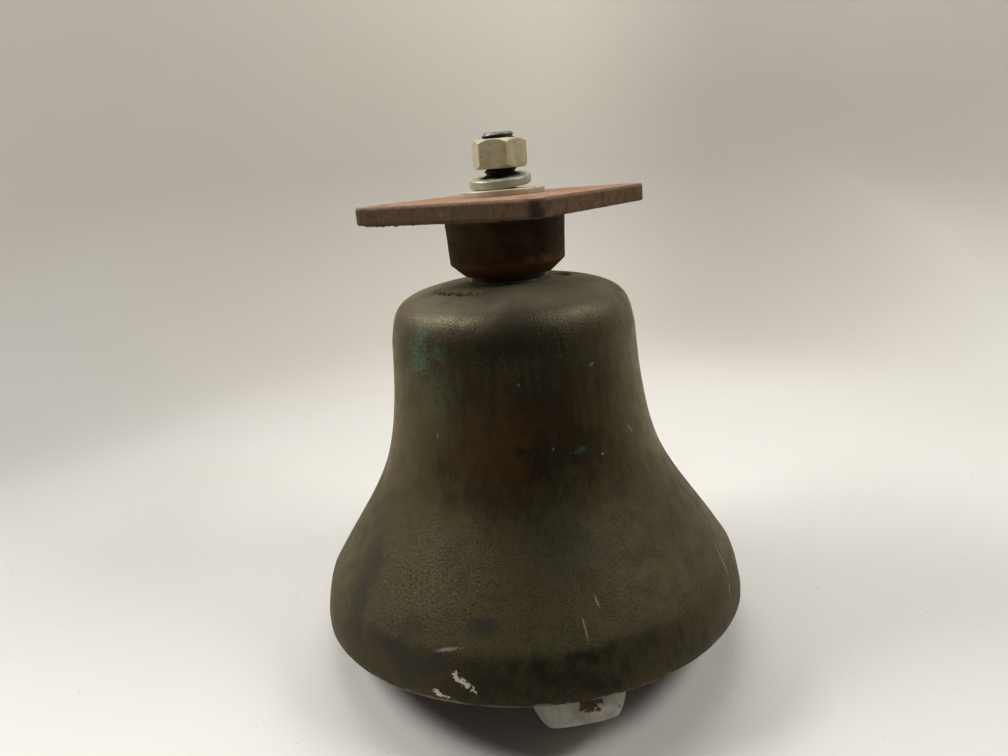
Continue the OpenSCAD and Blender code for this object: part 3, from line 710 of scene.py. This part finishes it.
plate_middle = (0, 0, rim_level + plate_top - plate_thickness / 2)
bpy.ops.mesh.primitive_cube_add(size=plate_width, location=plate_middle)
bracket = bpy.context.object
bracket.name = "bracket_casting"
bpy.ops.transform.resize(value=(1, 1, plate_thickness / plate_width))
bpy.ops.object.transform_apply(location=True, rotation=True, scale=True)
edit_edges(bracket, lambda a, b: abs(a.z - b.z) > 0.001)
bpy.ops.mesh.bevel(offset=plate_corner, segments=10, affect="EDGES")
edit_edges(bracket, lambda a, b: abs(a.z - b.z) < 0.0001)
bpy.ops.mesh.bevel(offset=plate_edge, segments=4, affect="EDGES")
bpy.ops.object.mode_set(mode="OBJECT")
hub_outline = [(0.0, hub_bottom), (hub_bottom_radius, hub_bottom),
               (hub_shoulder_radius, hub_bottom + hub_chamfer)]
hub_outline += arc((hub_top_radius + hub_fillet, plate_bottom - hub_fillet), hub_fillet, 180, 90, 6)
hub_outline += [(hub_top_radius + hub_fillet, plate_bottom + hub_overlap),
                (0.0, plate_bottom + hub_overlap)]
join_solids(bracket, spin_outline("hub", hub_outline, 96), "UNION")
drill_top = plate_top + drill_spare
join_solids(bracket, round_bar(stud_hole_radius, hub_bottom - drill_spare, drill_top), "DIFFERENCE")
join_solids(bracket, round_bar(spot_face_radius, plate_top - spot_face_depth, drill_top), "DIFFERENCE")
for x in (-bolt_spacing / 2, bolt_spacing / 2):
    for y in (-bolt_spacing / 2, bolt_spacing / 2):
        drill = round_bar(bolt_hole / 2, plate_bottom - drill_spare, drill_top, x, y)
        join_solids(bracket, drill, "DIFFERENCE")

# Flash from the mould hangs along one lower edge, with small beads of iron: place along it, radius
flash_radius = 0.0028
flash_length = 0.104
flash_middle = Vector((-0.010, -plate_width / 2 + 0.0034, rim_level + plate_bottom + 0.0019))
beads = ((-0.052, 0.0013), (-0.047, 0.0016), (-0.0425, 0.0012), (-0.036, 0.0017), (-0.029, 0.0011),
         (-0.022, 0.0014), (-0.017, 0.0010))
flash = round_bar(flash_radius, 0.0, flash_length)
flash.data.transform(Matrix.Translation(flash_middle) @ Matrix.Rotation(math.pi / 2, 4, "Y")
                     @ Matrix.Translation((0, 0, -rim_level - flash_length / 2)))
join_solids(bracket, flash, "UNION")
for along_edge, bead_radius in beads:
    bpy.ops.mesh.primitive_ico_sphere_add(subdivisions=3, radius=bead_radius, location=(
        along_edge, -plate_width / 2 + 0.0030, rim_level + plate_bottom - 0.0001))
    bpy.ops.object.transform_apply(location=True, rotation=True, scale=True)
    join_solids(bracket, bpy.context.object, "UNION")
recast(bracket, bracket_grain)
dent_skin(bracket, "cast_waves", size=0.012, depth=0.0003)
dent_skin(bracket, "cast_grain", size=0.0035, depth=0.00022)


def pointed(finish):
    """How sharply the surface turns outwards at a point."""
    return add_node(finish.node_tree, "ShaderNodeNewGeometry").outputs["Pointiness"]


rust = start_finish("rusty_iron", Specular_IOR_Level=0.15)
lift = plus(along(rust, (0, 0, 1)), -rim_level)
facing_up = along(rust, (0, 0, 1), "Normal")
broad = speckle(rust, 0.030, 4)
middling = speckle(rust, 0.008, 4, 0.6, shift=(2, 5, 3))
fine = speckle(rust, 0.0016, 3, 0.6, shift=(6, 1, 2))
down_lines = speckle(rust, 0.0011, 3, 0.6, stretch=(1, 1, 9), shift=(1, 6, 4))
orange_spots = speckle(rust, 0.005, 3, 0.5, shift=(8, 8, 1))
tone = lay(fade(broad, 0.38, 0.62), (0.066, 0.041, 0.025), (0.078, 0.042, 0.021))
tone = lay(fade(middling, 0.45, 0.70), tone, (0.045, 0.028, 0.018))
tone = lay(fade(down_lines, 0.40, 0.70, 0.0, 0.35), tone, (0.120, 0.080, 0.046))
tone = lay(fade(orange_spots, 0.60, 0.72, 0.0, 0.7), tone, (0.165, 0.070, 0.026))

# One side is lighter and more orange, as rust with painted light, and the rounded corner beside it is darker,
# as dirt with painted shade
side_rust_and_light = fade(along(rust, (1, 0, 0), "Normal"), 0.7, 0.95)
tone = lay(times(side_rust_and_light, fade(middling, 0.35, 0.62, 0.70, 0.10)), tone, (0.125, 0.062, 0.024))
corner_dirt_and_shade = plus(along(rust, (0.7071, -0.7071, 0), "Normal"), fade(middling, 0.3, 0.7, -0.09, 0.09))
tone = lay(fade(corner_dirt_and_shade, 0.76, 1.04, 0.0, 0.65), tone, (0.016, 0.009, 0.006))

# The top is red-orange with powdery rust
top_tone = lay(fade(middling, 0.30, 0.75), (0.34, 0.195, 0.120), (0.25, 0.130, 0.073))
top_tone = lay(fade(fine, 0.5, 0.75, 0.0, 0.6), top_tone, (0.40, 0.285, 0.20))
top_tone = lay(fade(fine, 0.45, 0.25, 0.0, 0.65), top_tone, (0.150, 0.078, 0.045))
top_tone = lay(fade(broad, 0.52, 0.70, 0.0, 0.5), top_tone, (0.200, 0.120, 0.080))
tone = lay(times(fade(facing_up, 0.6, 0.9), fade(lift, plate_bottom, plate_top)), tone, top_tone)

# The hub is black-brown, partly dark iron and partly painted shade under the plate, with orange rust low down
# on one side
on_hub = fade(lift, plate_bottom - 0.001, plate_bottom - 0.005)
hub_tone_and_shade = lay(fade(broad, 0.35, 0.65), (0.017, 0.006, 0.003), (0.050, 0.026, 0.006))
hub_tone_and_shade = lay(fade(middling, 0.50, 0.75, 0.0, 0.6), hub_tone_and_shade, (0.085, 0.042, 0.009))
low_ring = fade(plus(lift, fade(middling, 0.3, 0.7, -0.004, 0.004)), hub_bottom + 0.016, hub_bottom + 0.007)
hub_tone_and_shade = lay(times(low_ring, 0.6), hub_tone_and_shade, (0.130, 0.052, 0.012))
tone = lay(on_hub, tone, hub_tone_and_shade)

# Edges that rubbed against things are pale grey-brown, most of all the plate's upper edge
upper_edge = times(fade(lift, plate_top - 0.0030, plate_top - 0.0014), fade(facing_up, 0.85, 0.5),
                   fade(middling, 0.35, 0.6, 0.25, 0.75))
tone = lay(upper_edge, tone, (0.230, 0.180, 0.140))
worn = times(fade(plus(pointed(rust), fade(fine, 0.3, 0.7, -0.02, 0.02)), 0.535, 0.60),
             fade(middling, 0.35, 0.6, 0.35, 0.85))
# The worn edges on the hub stay dark brown, with the hub's painted shade
give("Base Color", lay(worn, tone, lay(on_hub, (0.235, 0.190, 0.145), (0.080, 0.060, 0.040))))
give("Roughness", fade(middling, 0.3, 0.7, 0.62, 0.82))
raise_skin(plus(times(fine, 0.7), times(down_lines, 0.5)), 0.8, 0.0004)
bracket.data.materials.clear()
bracket.data.materials.append(rust)
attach(bracket, "bell_body")
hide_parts("mounting_bracket")

# Centre stud
# A 7/8 in steel stud, threaded 9 turns to the inch and blackened. It clamps the bracket, the bell and
# the ringer together; its chamfered end stands out of the nut. The thread's profile is given as steps
# out, in metres, and up, in shares of the pitch.
stud_radius = 0.01111
stud_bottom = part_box("centre_stud")[0].z - rim_level
stud_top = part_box("centre_stud")[1].z - rim_level
thread_pitch = 0.0254 / 9
thread_depth = 0.0015
thread_profile = ((0, 0.10), (thread_depth, 0.34), (0, 0.12), (-thread_depth, 0.34), (0, 0.10))
stud_chamfer = 0.002

thread_line = [(out, up * thread_pitch) for out, up in thread_profile]
stud = draw_line("threaded_stud", stud_radius - thread_depth, rim_level + stud_bottom - 2 * thread_pitch,
                 thread_line)
bpy.ops.object.mode_set(mode="OBJECT")
bpy.ops.object.transform_apply(location=True, rotation=True, scale=True)
thread = stud.modifiers.new("thread", "SCREW")
thread.angle = math.tau
thread.screw_offset = thread_pitch
thread.iterations = math.ceil((stud_top - stud_bottom) / thread_pitch) + 4
thread.steps = thread.render_steps = 40
thread.use_merge_vertices = True
thread.merge_threshold = 0.00001
bpy.ops.object.modifier_apply(modifier="thread")
for level, up in ((stud_bottom, -1), (stud_top, 1)):
    bpy.ops.object.mode_set(mode="EDIT")
    bpy.ops.mesh.select_all(action="SELECT")
    bpy.ops.mesh.remove_doubles(threshold=0.00001)
    bpy.ops.mesh.select_all(action="SELECT")
    bpy.ops.mesh.bisect(plane_co=(0, 0, rim_level + level), plane_no=(0, 0, up), use_fill=True,
                        clear_outer=True)
    close_edit()
blank_outline = [
    (0.0, stud_bottom), (stud_radius - stud_chamfer, stud_bottom), (stud_radius, stud_bottom + stud_chamfer),
    (stud_radius, stud_top - stud_chamfer), (stud_radius - stud_chamfer, stud_top - 0.0002),
    (stud_radius - stud_chamfer - 0.0005, stud_top), (0.0, stud_top)]
join_solids(stud, spin_outline("stud_blank", blank_outline, 80), "INTERSECT")
bpy.ops.object.shade_smooth_by_angle(angle=math.radians(30))

black_steel = start_finish("black_steel", Metallic=0.7)
stud_blotches = speckle(black_steel, 0.003, 4)
stud_end = fade(along(black_steel, (0, 0, 1)), rim_level + stud_top - 0.0026, rim_level + stud_top - 0.0014)
stud_tone = lay(fade(stud_blotches, 0.4, 0.65), (0.018, 0.015, 0.012), (0.035, 0.024, 0.016))
give("Base Color", lay(stud_end, stud_tone, (0.20, 0.185, 0.165)))
give("Roughness", fade(stud_blotches, 0.3, 0.7, 0.35, 0.55))
stud.data.materials.clear()
stud.data.materials.append(black_steel)
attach(stud, "bell_body")
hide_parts("centre_stud")

# Flat washer
# A thick punched steel washer, dull zinc, lying in the plate's spot face. Punching leaves its upper
# edge rounded and its lower edge sharp.
washer_radius = 0.0286
upper_rounding = 0.0008
lower_rounding = 0.0003
washer_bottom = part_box("flat_washer")[0].z - rim_level
washer_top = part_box("flat_washer")[1].z - rim_level

lower_centre = (washer_radius - lower_rounding, washer_bottom + lower_rounding)
upper_centre = (washer_radius - upper_rounding, washer_top - upper_rounding)
washer_outline = [(stud_hole_radius, washer_bottom), (washer_radius - lower_rounding, washer_bottom)]
washer_outline += arc(lower_centre, lower_rounding, -90, 0, 2)
washer_outline += arc(upper_centre, upper_rounding, 0, 90, 5)
washer_outline += [(stud_hole_radius + upper_rounding, washer_top),
                   (stud_hole_radius, washer_top - upper_rounding), (stud_hole_radius, washer_bottom)]
washer = spin_outline("flat_washer_plate", washer_outline, 160)


def zinc_finish(name, colour, rubbed_colour, dirt_colour, metal, roughness, rubbed=0.7):
    """Dull zinc plate: cloudy, with dirt in blotches, and rubbed paler on its edges."""
    finish = start_finish(name, Metallic=metal)
    clouds = speckle(finish, 0.006, 4)
    dirt = speckle(finish, 0.0025, 4, 0.6, shift=(3, 3, 3))
    tone = lay(fade(clouds, 0.35, 0.65), colour, rubbed_colour)
    tone = lay(fade(dirt, 0.55, 0.78, 0.0, 0.7), tone, dirt_colour)
    give("Base Color", lay(times(fade(pointed(finish), 0.52, 0.58), rubbed), tone, (0.78, 0.74, 0.62)))
    give("Roughness", fade(clouds, 0.3, 0.7, roughness - 0.06, roughness + 0.08))
    raise_skin(speckle(finish, 0.0007, 2), 0.3, 0.0001)
    return finish


washer.data.materials.append(zinc_finish(
    "washer_zinc", (0.42, 0.365, 0.245), (0.48, 0.43, 0.31), (0.25, 0.15, 0.09), 0.35, 0.45))
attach(washer, "bell_body")
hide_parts("flat_washer")

# Lock washer
# A ring of square steel wire coiled one turn and cut through. The nut is run back a little, so the
# washer leans: it lies on its front edge, and the side with the split stands clear at the back.
lock_radius = 0.0209
lock_width = 0.0079
lock_thickness = 0.0063
lock_edge = 0.0016
lock_rise = 0.0014
lock_lean = math.radians(7.0)
lock_start = math.radians(98)
lock_arc = math.radians(348)
lock_low_side = math.radians(-70)
lock_shift = -0.0008 * level_right
lock_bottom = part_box("lock_washer")[0].z

bpy.ops.mesh.primitive_plane_add(size=1)
lock_washer = bpy.context.object
lock_washer.name = "spring_lock_washer"
edit_all()
bpy.ops.transform.resize(value=(lock_width, lock_thickness, 1))
bpy.ops.mesh.bevel(offset=lock_edge, segments=6, affect="VERTICES")
bpy.ops.object.mode_set(mode="OBJECT")
wire_middle = (lock_radius - lock_width / 2, 0, lock_bottom + lock_thickness / 2)
lock_washer.data.transform(Matrix.Translation(wire_middle) @ Matrix.Rotation(math.pi / 2, 4, "X"))
bpy.ops.object.mode_set(mode="EDIT")
bpy.ops.mesh.select_all(action="SELECT")
bpy.ops.mesh.delete(type="ONLY_FACE")
bpy.ops.object.mode_set(mode="OBJECT")
coil = lock_washer.modifiers.new("coil", "SCREW")
coil.angle = lock_arc
coil.screw_offset = lock_rise
coil.steps = coil.render_steps = 120
bpy.ops.object.modifier_apply(modifier="coil")
lean_axis = Vector((-math.sin(lock_low_side), math.cos(lock_low_side), 0))
lock_middle = Matrix.Translation((0, 0, lock_bottom + lock_thickness / 2))
lock_washer.data.transform(lock_middle @ Matrix.Rotation(lock_lean, 4, lean_axis) @ lock_middle.inverted()
                           @ Matrix.Rotation(lock_start, 4, "Z"))
lock_drop = min(corner.co.z for corner in lock_washer.data.vertices) - lock_bottom
lock_washer.data.transform(Matrix.Translation((lock_shift.x, lock_shift.y, -lock_drop)))
bpy.ops.object.mode_set(mode="EDIT")
bpy.ops.mesh.select_all(action="DESELECT")
bpy.ops.mesh.select_non_manifold()
bpy.ops.mesh.fill_holes(sides=0)
close_edit()
bpy.ops.object.shade_smooth_by_angle(angle=math.radians(40))
lock_washer.data.materials.append(zinc_finish(
    "spring_zinc", (0.34, 0.335, 0.265), (0.40, 0.385, 0.305), (0.15, 0.125, 0.09), 0.40, 0.46, 0.3))
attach(lock_washer, "bell_body")
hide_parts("lock_washer")

# Hexagon nut
# A tall 1 5/16 in steel nut with yellow-white zinc plate. Its corners are turned off at both ends,
# which leaves the curved lines on its flats, and its edges are rubbed pale by the spanner.
nut_flats = 0.0328
nut_heading = math.radians(-72)
nut_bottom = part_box("hex_nut")[0].z - rim_level
nut_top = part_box("hex_nut")[1].z - rim_level
nut_corner = nut_flats / 2 / math.cos(math.pi / 6)
nut_face = nut_flats / 2 - 0.0004
nut_slope = (nut_corner - nut_face) * math.tan(math.radians(40))
nut_grain = 0.00035
thread_entry = 0.003

bpy.ops.mesh.primitive_cylinder_add(vertices=6, radius=nut_corner, depth=nut_top - nut_bottom)
nut = bpy.context.object
nut.name = "hexagon_nut"
nut.data.transform(Matrix.Translation((0, 0, rim_level + (nut_bottom + nut_top) / 2))
                   @ Matrix.Rotation(nut_heading, 4, "Z"))
turned = spin_outline("turned_blank", [
    (0.0, nut_bottom), (nut_face, nut_bottom), (nut_corner, nut_bottom + nut_slope),
    (nut_corner + 0.001, nut_bottom + nut_slope + 0.0006), (nut_corner + 0.001, nut_top - nut_slope - 0.0006),
    (nut_corner, nut_top - nut_slope), (nut_face, nut_top), (0.0, nut_top)], 96)
join_solids(nut, turned, "INTERSECT")
entry_radius = stud_radius + thread_entry
bore = spin_outline("nut_bore", [
    (0.0, nut_bottom - 0.002), (entry_radius, nut_bottom - 0.002), (stud_radius, nut_bottom + 0.001),
    (stud_radius, nut_top - 0.001), (entry_radius, nut_top + 0.002), (0.0, nut_top + 0.002)], 64)
join_solids(nut, bore, "DIFFERENCE")
recast(nut, nut_grain, 1)
nut.data.materials.clear()
nut.data.materials.append(zinc_finish(
    "nut_zinc", (0.47, 0.42, 0.245), (0.52, 0.48, 0.33), (0.22, 0.18, 0.11), 0.35, 0.42))
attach(nut, "bell_body")
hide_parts("hex_nut")

# Ringer's body
# One iron casting: a flange screwed to the stud against the crown, a boss, the air cylinder that lies
# under it, two ears for the clapper's pin and the bosses of the air ports. Black paint over a sand-cast
# skin, worn to brown iron in places, with soft edges.
def cast_copy(name, node, grain, smoothing, waves, depth):
    """A solid with its faces joined, recast with the soft edges and uneven skin of a rough casting."""
    source = frame["nodes"][node]
    piece = bpy.data.objects.new(name, source.data.copy())
    bpy.context.scene.collection.objects.link(piece)
    piece.data.transform(source.matrix_world)
    bpy.ops.object.select_all(action="DESELECT")
    piece.select_set(True)
    bpy.context.view_layer.objects.active = piece
    edit_all()
    bpy.ops.mesh.remove_doubles(threshold=0.00001)
    close_edit()
    recast(piece, grain, smoothing)
    dent_skin(piece, "cast_skin", waves, depth)
    piece.data.materials.clear()
    return piece


def iron_finish(name, colour, brown, rust_colour, size):
    """Old black paint on cast iron: brown where it wore thin, rusty in spots, paler on its edges."""
    finish = start_finish(name, Metallic=0.1, Specular_IOR_Level=0.35)
    areas = speckle(finish, size, 4, 0.6)
    spots = speckle(finish, size / 5, 4, 0.6, shift=(5, 3, 7))
    tone = lay(fade(areas, 0.40, 0.62), colour, brown)
    tone = lay(fade(spots, 0.58, 0.72, 0.0, 0.7), tone, rust_colour)
    edge = fade(plus(pointed(finish), fade(spots, 0.3, 0.7, -0.02, 0.02)), 0.53, 0.60, 0.0, 0.6)
    give("Base Color", lay(edge, tone, (0.16, 0.13, 0.10)))
    give("Roughness", fade(areas, 0.3, 0.7, 0.42, 0.68))
    raise_skin(speckle(finish, 0.0011, 3, 0.6), 0.6, 0.0003)
    return finish


black_iron = iron_finish("black_painted_iron", (0.022, 0.020, 0.018), (0.045, 0.030, 0.020),
                         (0.110, 0.045, 0.018), 0.018)
ringer = cast_copy("ringer_casting", "ringer_body", grain=0.0009, smoothing=2, waves=0.010,
                   depth=0.0003)
ringer.data.materials.append(black_iron)
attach(ringer, "bell_body")
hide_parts("ringer_body")

# Crown gasket
# Black rubber ring between the ringer's flange and the inside of the crown. It keeps the casting off
# the bronze, so the bell rings freely. Its solid has the right shape and gets a dusty rubber finish.
black_rubber = plain_finish("black_rubber", (0.012, 0.012, 0.012), (0.035, 0.033, 0.030), 0.004, 0.62)
finish_node("crown_gasket", black_rubber)

# Cylinder liner and rod bushing
# A honed bronze sleeve in the air cylinder and a turned bronze bush in its front wall. Both are pressed
# in and machined all over, darkened by oil.
oily_bronze = plain_finish("oily_bronze", (0.36, 0.22, 0.075), (0.20, 0.115, 0.040), 0.006, 0.32,
                           Metallic=0.9)
finish_node("cylinder_liner", oily_bronze)
finish_node("rod_bushing", oily_bronze)

# Cylinder cap with its gasket and four screws
# A cast iron cover painted like the body, a fibre gasket and four slotted cheese-head screws of oily
# steel. The cover is machined on its joint face only.
cap = cast_copy("cap_casting", "cylinder_cap", grain=0.0006, smoothing=1, waves=0.008, depth=0.00015)
cap.data.materials.append(black_iron)
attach(cap, "bell_body")
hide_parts("cylinder_cap")

fibre = plain_finish("red_brown_fibre", (0.130, 0.060, 0.030), (0.075, 0.036, 0.020), 0.003, 0.75)
oily_steel = plain_finish("oily_steel", (0.24, 0.225, 0.20), (0.10, 0.080, 0.058), 0.004, 0.36, Metallic=0.85)
finish_node("cap_gasket", fibre)
finish_node("cap_screws", oily_steel)

# Exhaust screw and its lock nut
# A slotted steel screw throttles the exhaust and sets how hard the clapper strikes; a thin hexagon nut
# holds it. The screw is oily and the nut is a little rusty.
rusty_steel = plain_finish("rusty_steel", (0.17, 0.150, 0.125), (0.090, 0.045, 0.022), 0.003, 0.45,
                           Metallic=0.6)
finish_node("exhaust_screw", oily_steel)
finish_node("exhaust_lock_nut", rusty_steel)

# Plunger
# A bronze piston cup with a rubber seal in its groove, on a ground steel rod with a flat button that the
# clapper's nose follows; a nut holds the piston on the rod's thread. A spring of dark steel wire behind
# it pushes it home. The solids are turned parts with the right shape and get their finishes here.
finish_node("piston", oily_bronze)
finish_node("piston_seal", black_rubber)
ground_steel = plain_finish("ground_steel", (0.42, 0.41, 0.39), (0.27, 0.25, 0.22), 0.005, 0.24,
                            Metallic=0.95)
finish_node("plunger_rod", ground_steel)
finish_node("plunger_nut", oily_steel)
spring_steel = plain_finish("spring_steel", (0.075, 0.068, 0.060), (0.13, 0.085, 0.050), 0.003, 0.38,
                            Metallic=0.8)
finish_node("return_spring", spring_steel)

# Clapper arm
# A forged steel lever: an eye for the pin, a nose that meets the plunger and a tapered shank whose end is
# pressed into the ball. Dark brown forge scale, rusty in spots and worn paler on its edges.
forged = iron_finish("forged_steel", (0.050, 0.036, 0.026), (0.075, 0.048, 0.030), (0.120, 0.055, 0.022),
                     0.010)
arm = cast_copy("forged_arm", "clapper_arm", grain=0.0007, smoothing=3, waves=0.009, depth=0.0003)
arm.data.materials.append(forged)
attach(arm, "clapper")
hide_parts("clapper_arm")

# Clapper ball
# An iron ball with a flat end, dipped in white paint. Where it strikes the bell the paint is chipped to
# brown iron; the rest is grimy, with a rust line round the flat. Its white is laid on as a dark grey,
# partly grime and partly painted shade under the bell. The paint rounds off the edges.
ball = cast_copy("painted_ball", "clapper_ball", grain=0.0006, smoothing=4, waves=0.016, depth=0.00025)
white_paint = start_finish("grimy_white_paint_and_shade", Specular_IOR_Level=0.4)
grime = speckle(white_paint, 0.012, 4, 0.6)
chip_noise = speckle(white_paint, 0.0045, 4, 0.65, shift=(2, 9, 4))
fine_grime = speckle(white_paint, 0.0012, 3, 0.6, shift=(7, 7, 2))
# The paint's grey is partly grime and partly painted shade under the bell
ball_tone = lay(fade(grime, 0.38, 0.66), (0.40, 0.375, 0.315), (0.28, 0.255, 0.195))
ball_tone = lay(fade(fine_grime, 0.60, 0.74, 0.0, 0.5), ball_tone, (0.16, 0.13, 0.09))

# The chips in the paint: their middles, their sizes and how ragged they are
chip_places = (
    ((0.1040, -0.1047, 0.0365), (0.0075, 0.0075, 0.0034), 0.9),
    ((0.1000, -0.1075, 0.0380), (0.0012, 0.0012, 0.0050), 0.9),
    ((0.1135, -0.0853, 0.0268), (0.0012, 0.0012, 0.0012), 0.3),
    ((0.0905, -0.1120, 0.0250), (0.0022, 0.0022, 0.0006), 0.9),
    ((0.1095, -0.0990, 0.0372), (0.0018, 0.0018, 0.0016), 0.9),
    ((0.0700, -0.0720, 0.0600), (0.0060, 0.0060, 0.0060), 0.9),
)
chips = most(*(
    fade(plus(reach_from(white_paint, middle, size), fade(chip_noise, 0.25, 0.75, -ragged, ragged)),
         1.15, 0.90)
    for middle, size, ragged in chip_places))
ball_tone = lay(chips, ball_tone, (0.042, 0.024, 0.012))
flat_line = fade(plus(pointed(white_paint), fade(grime, 0.3, 0.7, -0.03, 0.03)), 0.52, 0.57, 0.0, 0.6)
give("Base Color", lay(flat_line, ball_tone, (0.20, 0.145, 0.080)))
give("Roughness", fade(grime, 0.3, 0.7, 0.45, 0.65))
raise_skin(plus(times(fine_grime, 0.25), times(chips, -1)), 0.6, 0.0003)
ball.data.materials.append(white_paint)
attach(ball, "clapper")
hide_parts("clapper_ball")

# Pivot bushing
# A turned bronze bush pressed into the arm's eye, which turns on the pin. It is machined all over and
# darkened by oil, like the bush of the plunger's rod.
finish_node("pivot_bushing", oily_bronze)

# Pivot pin, its washer and its cotter pin
# A headed steel pin through both ears, with a washer and a split pin behind it. They are plain turned
# and drawn parts, oily, with brown stains.
finish_node("pivot_pin", oily_steel)
finish_node("pin_washer", rusty_steel)
finish_node("cotter_pin", oily_steel)
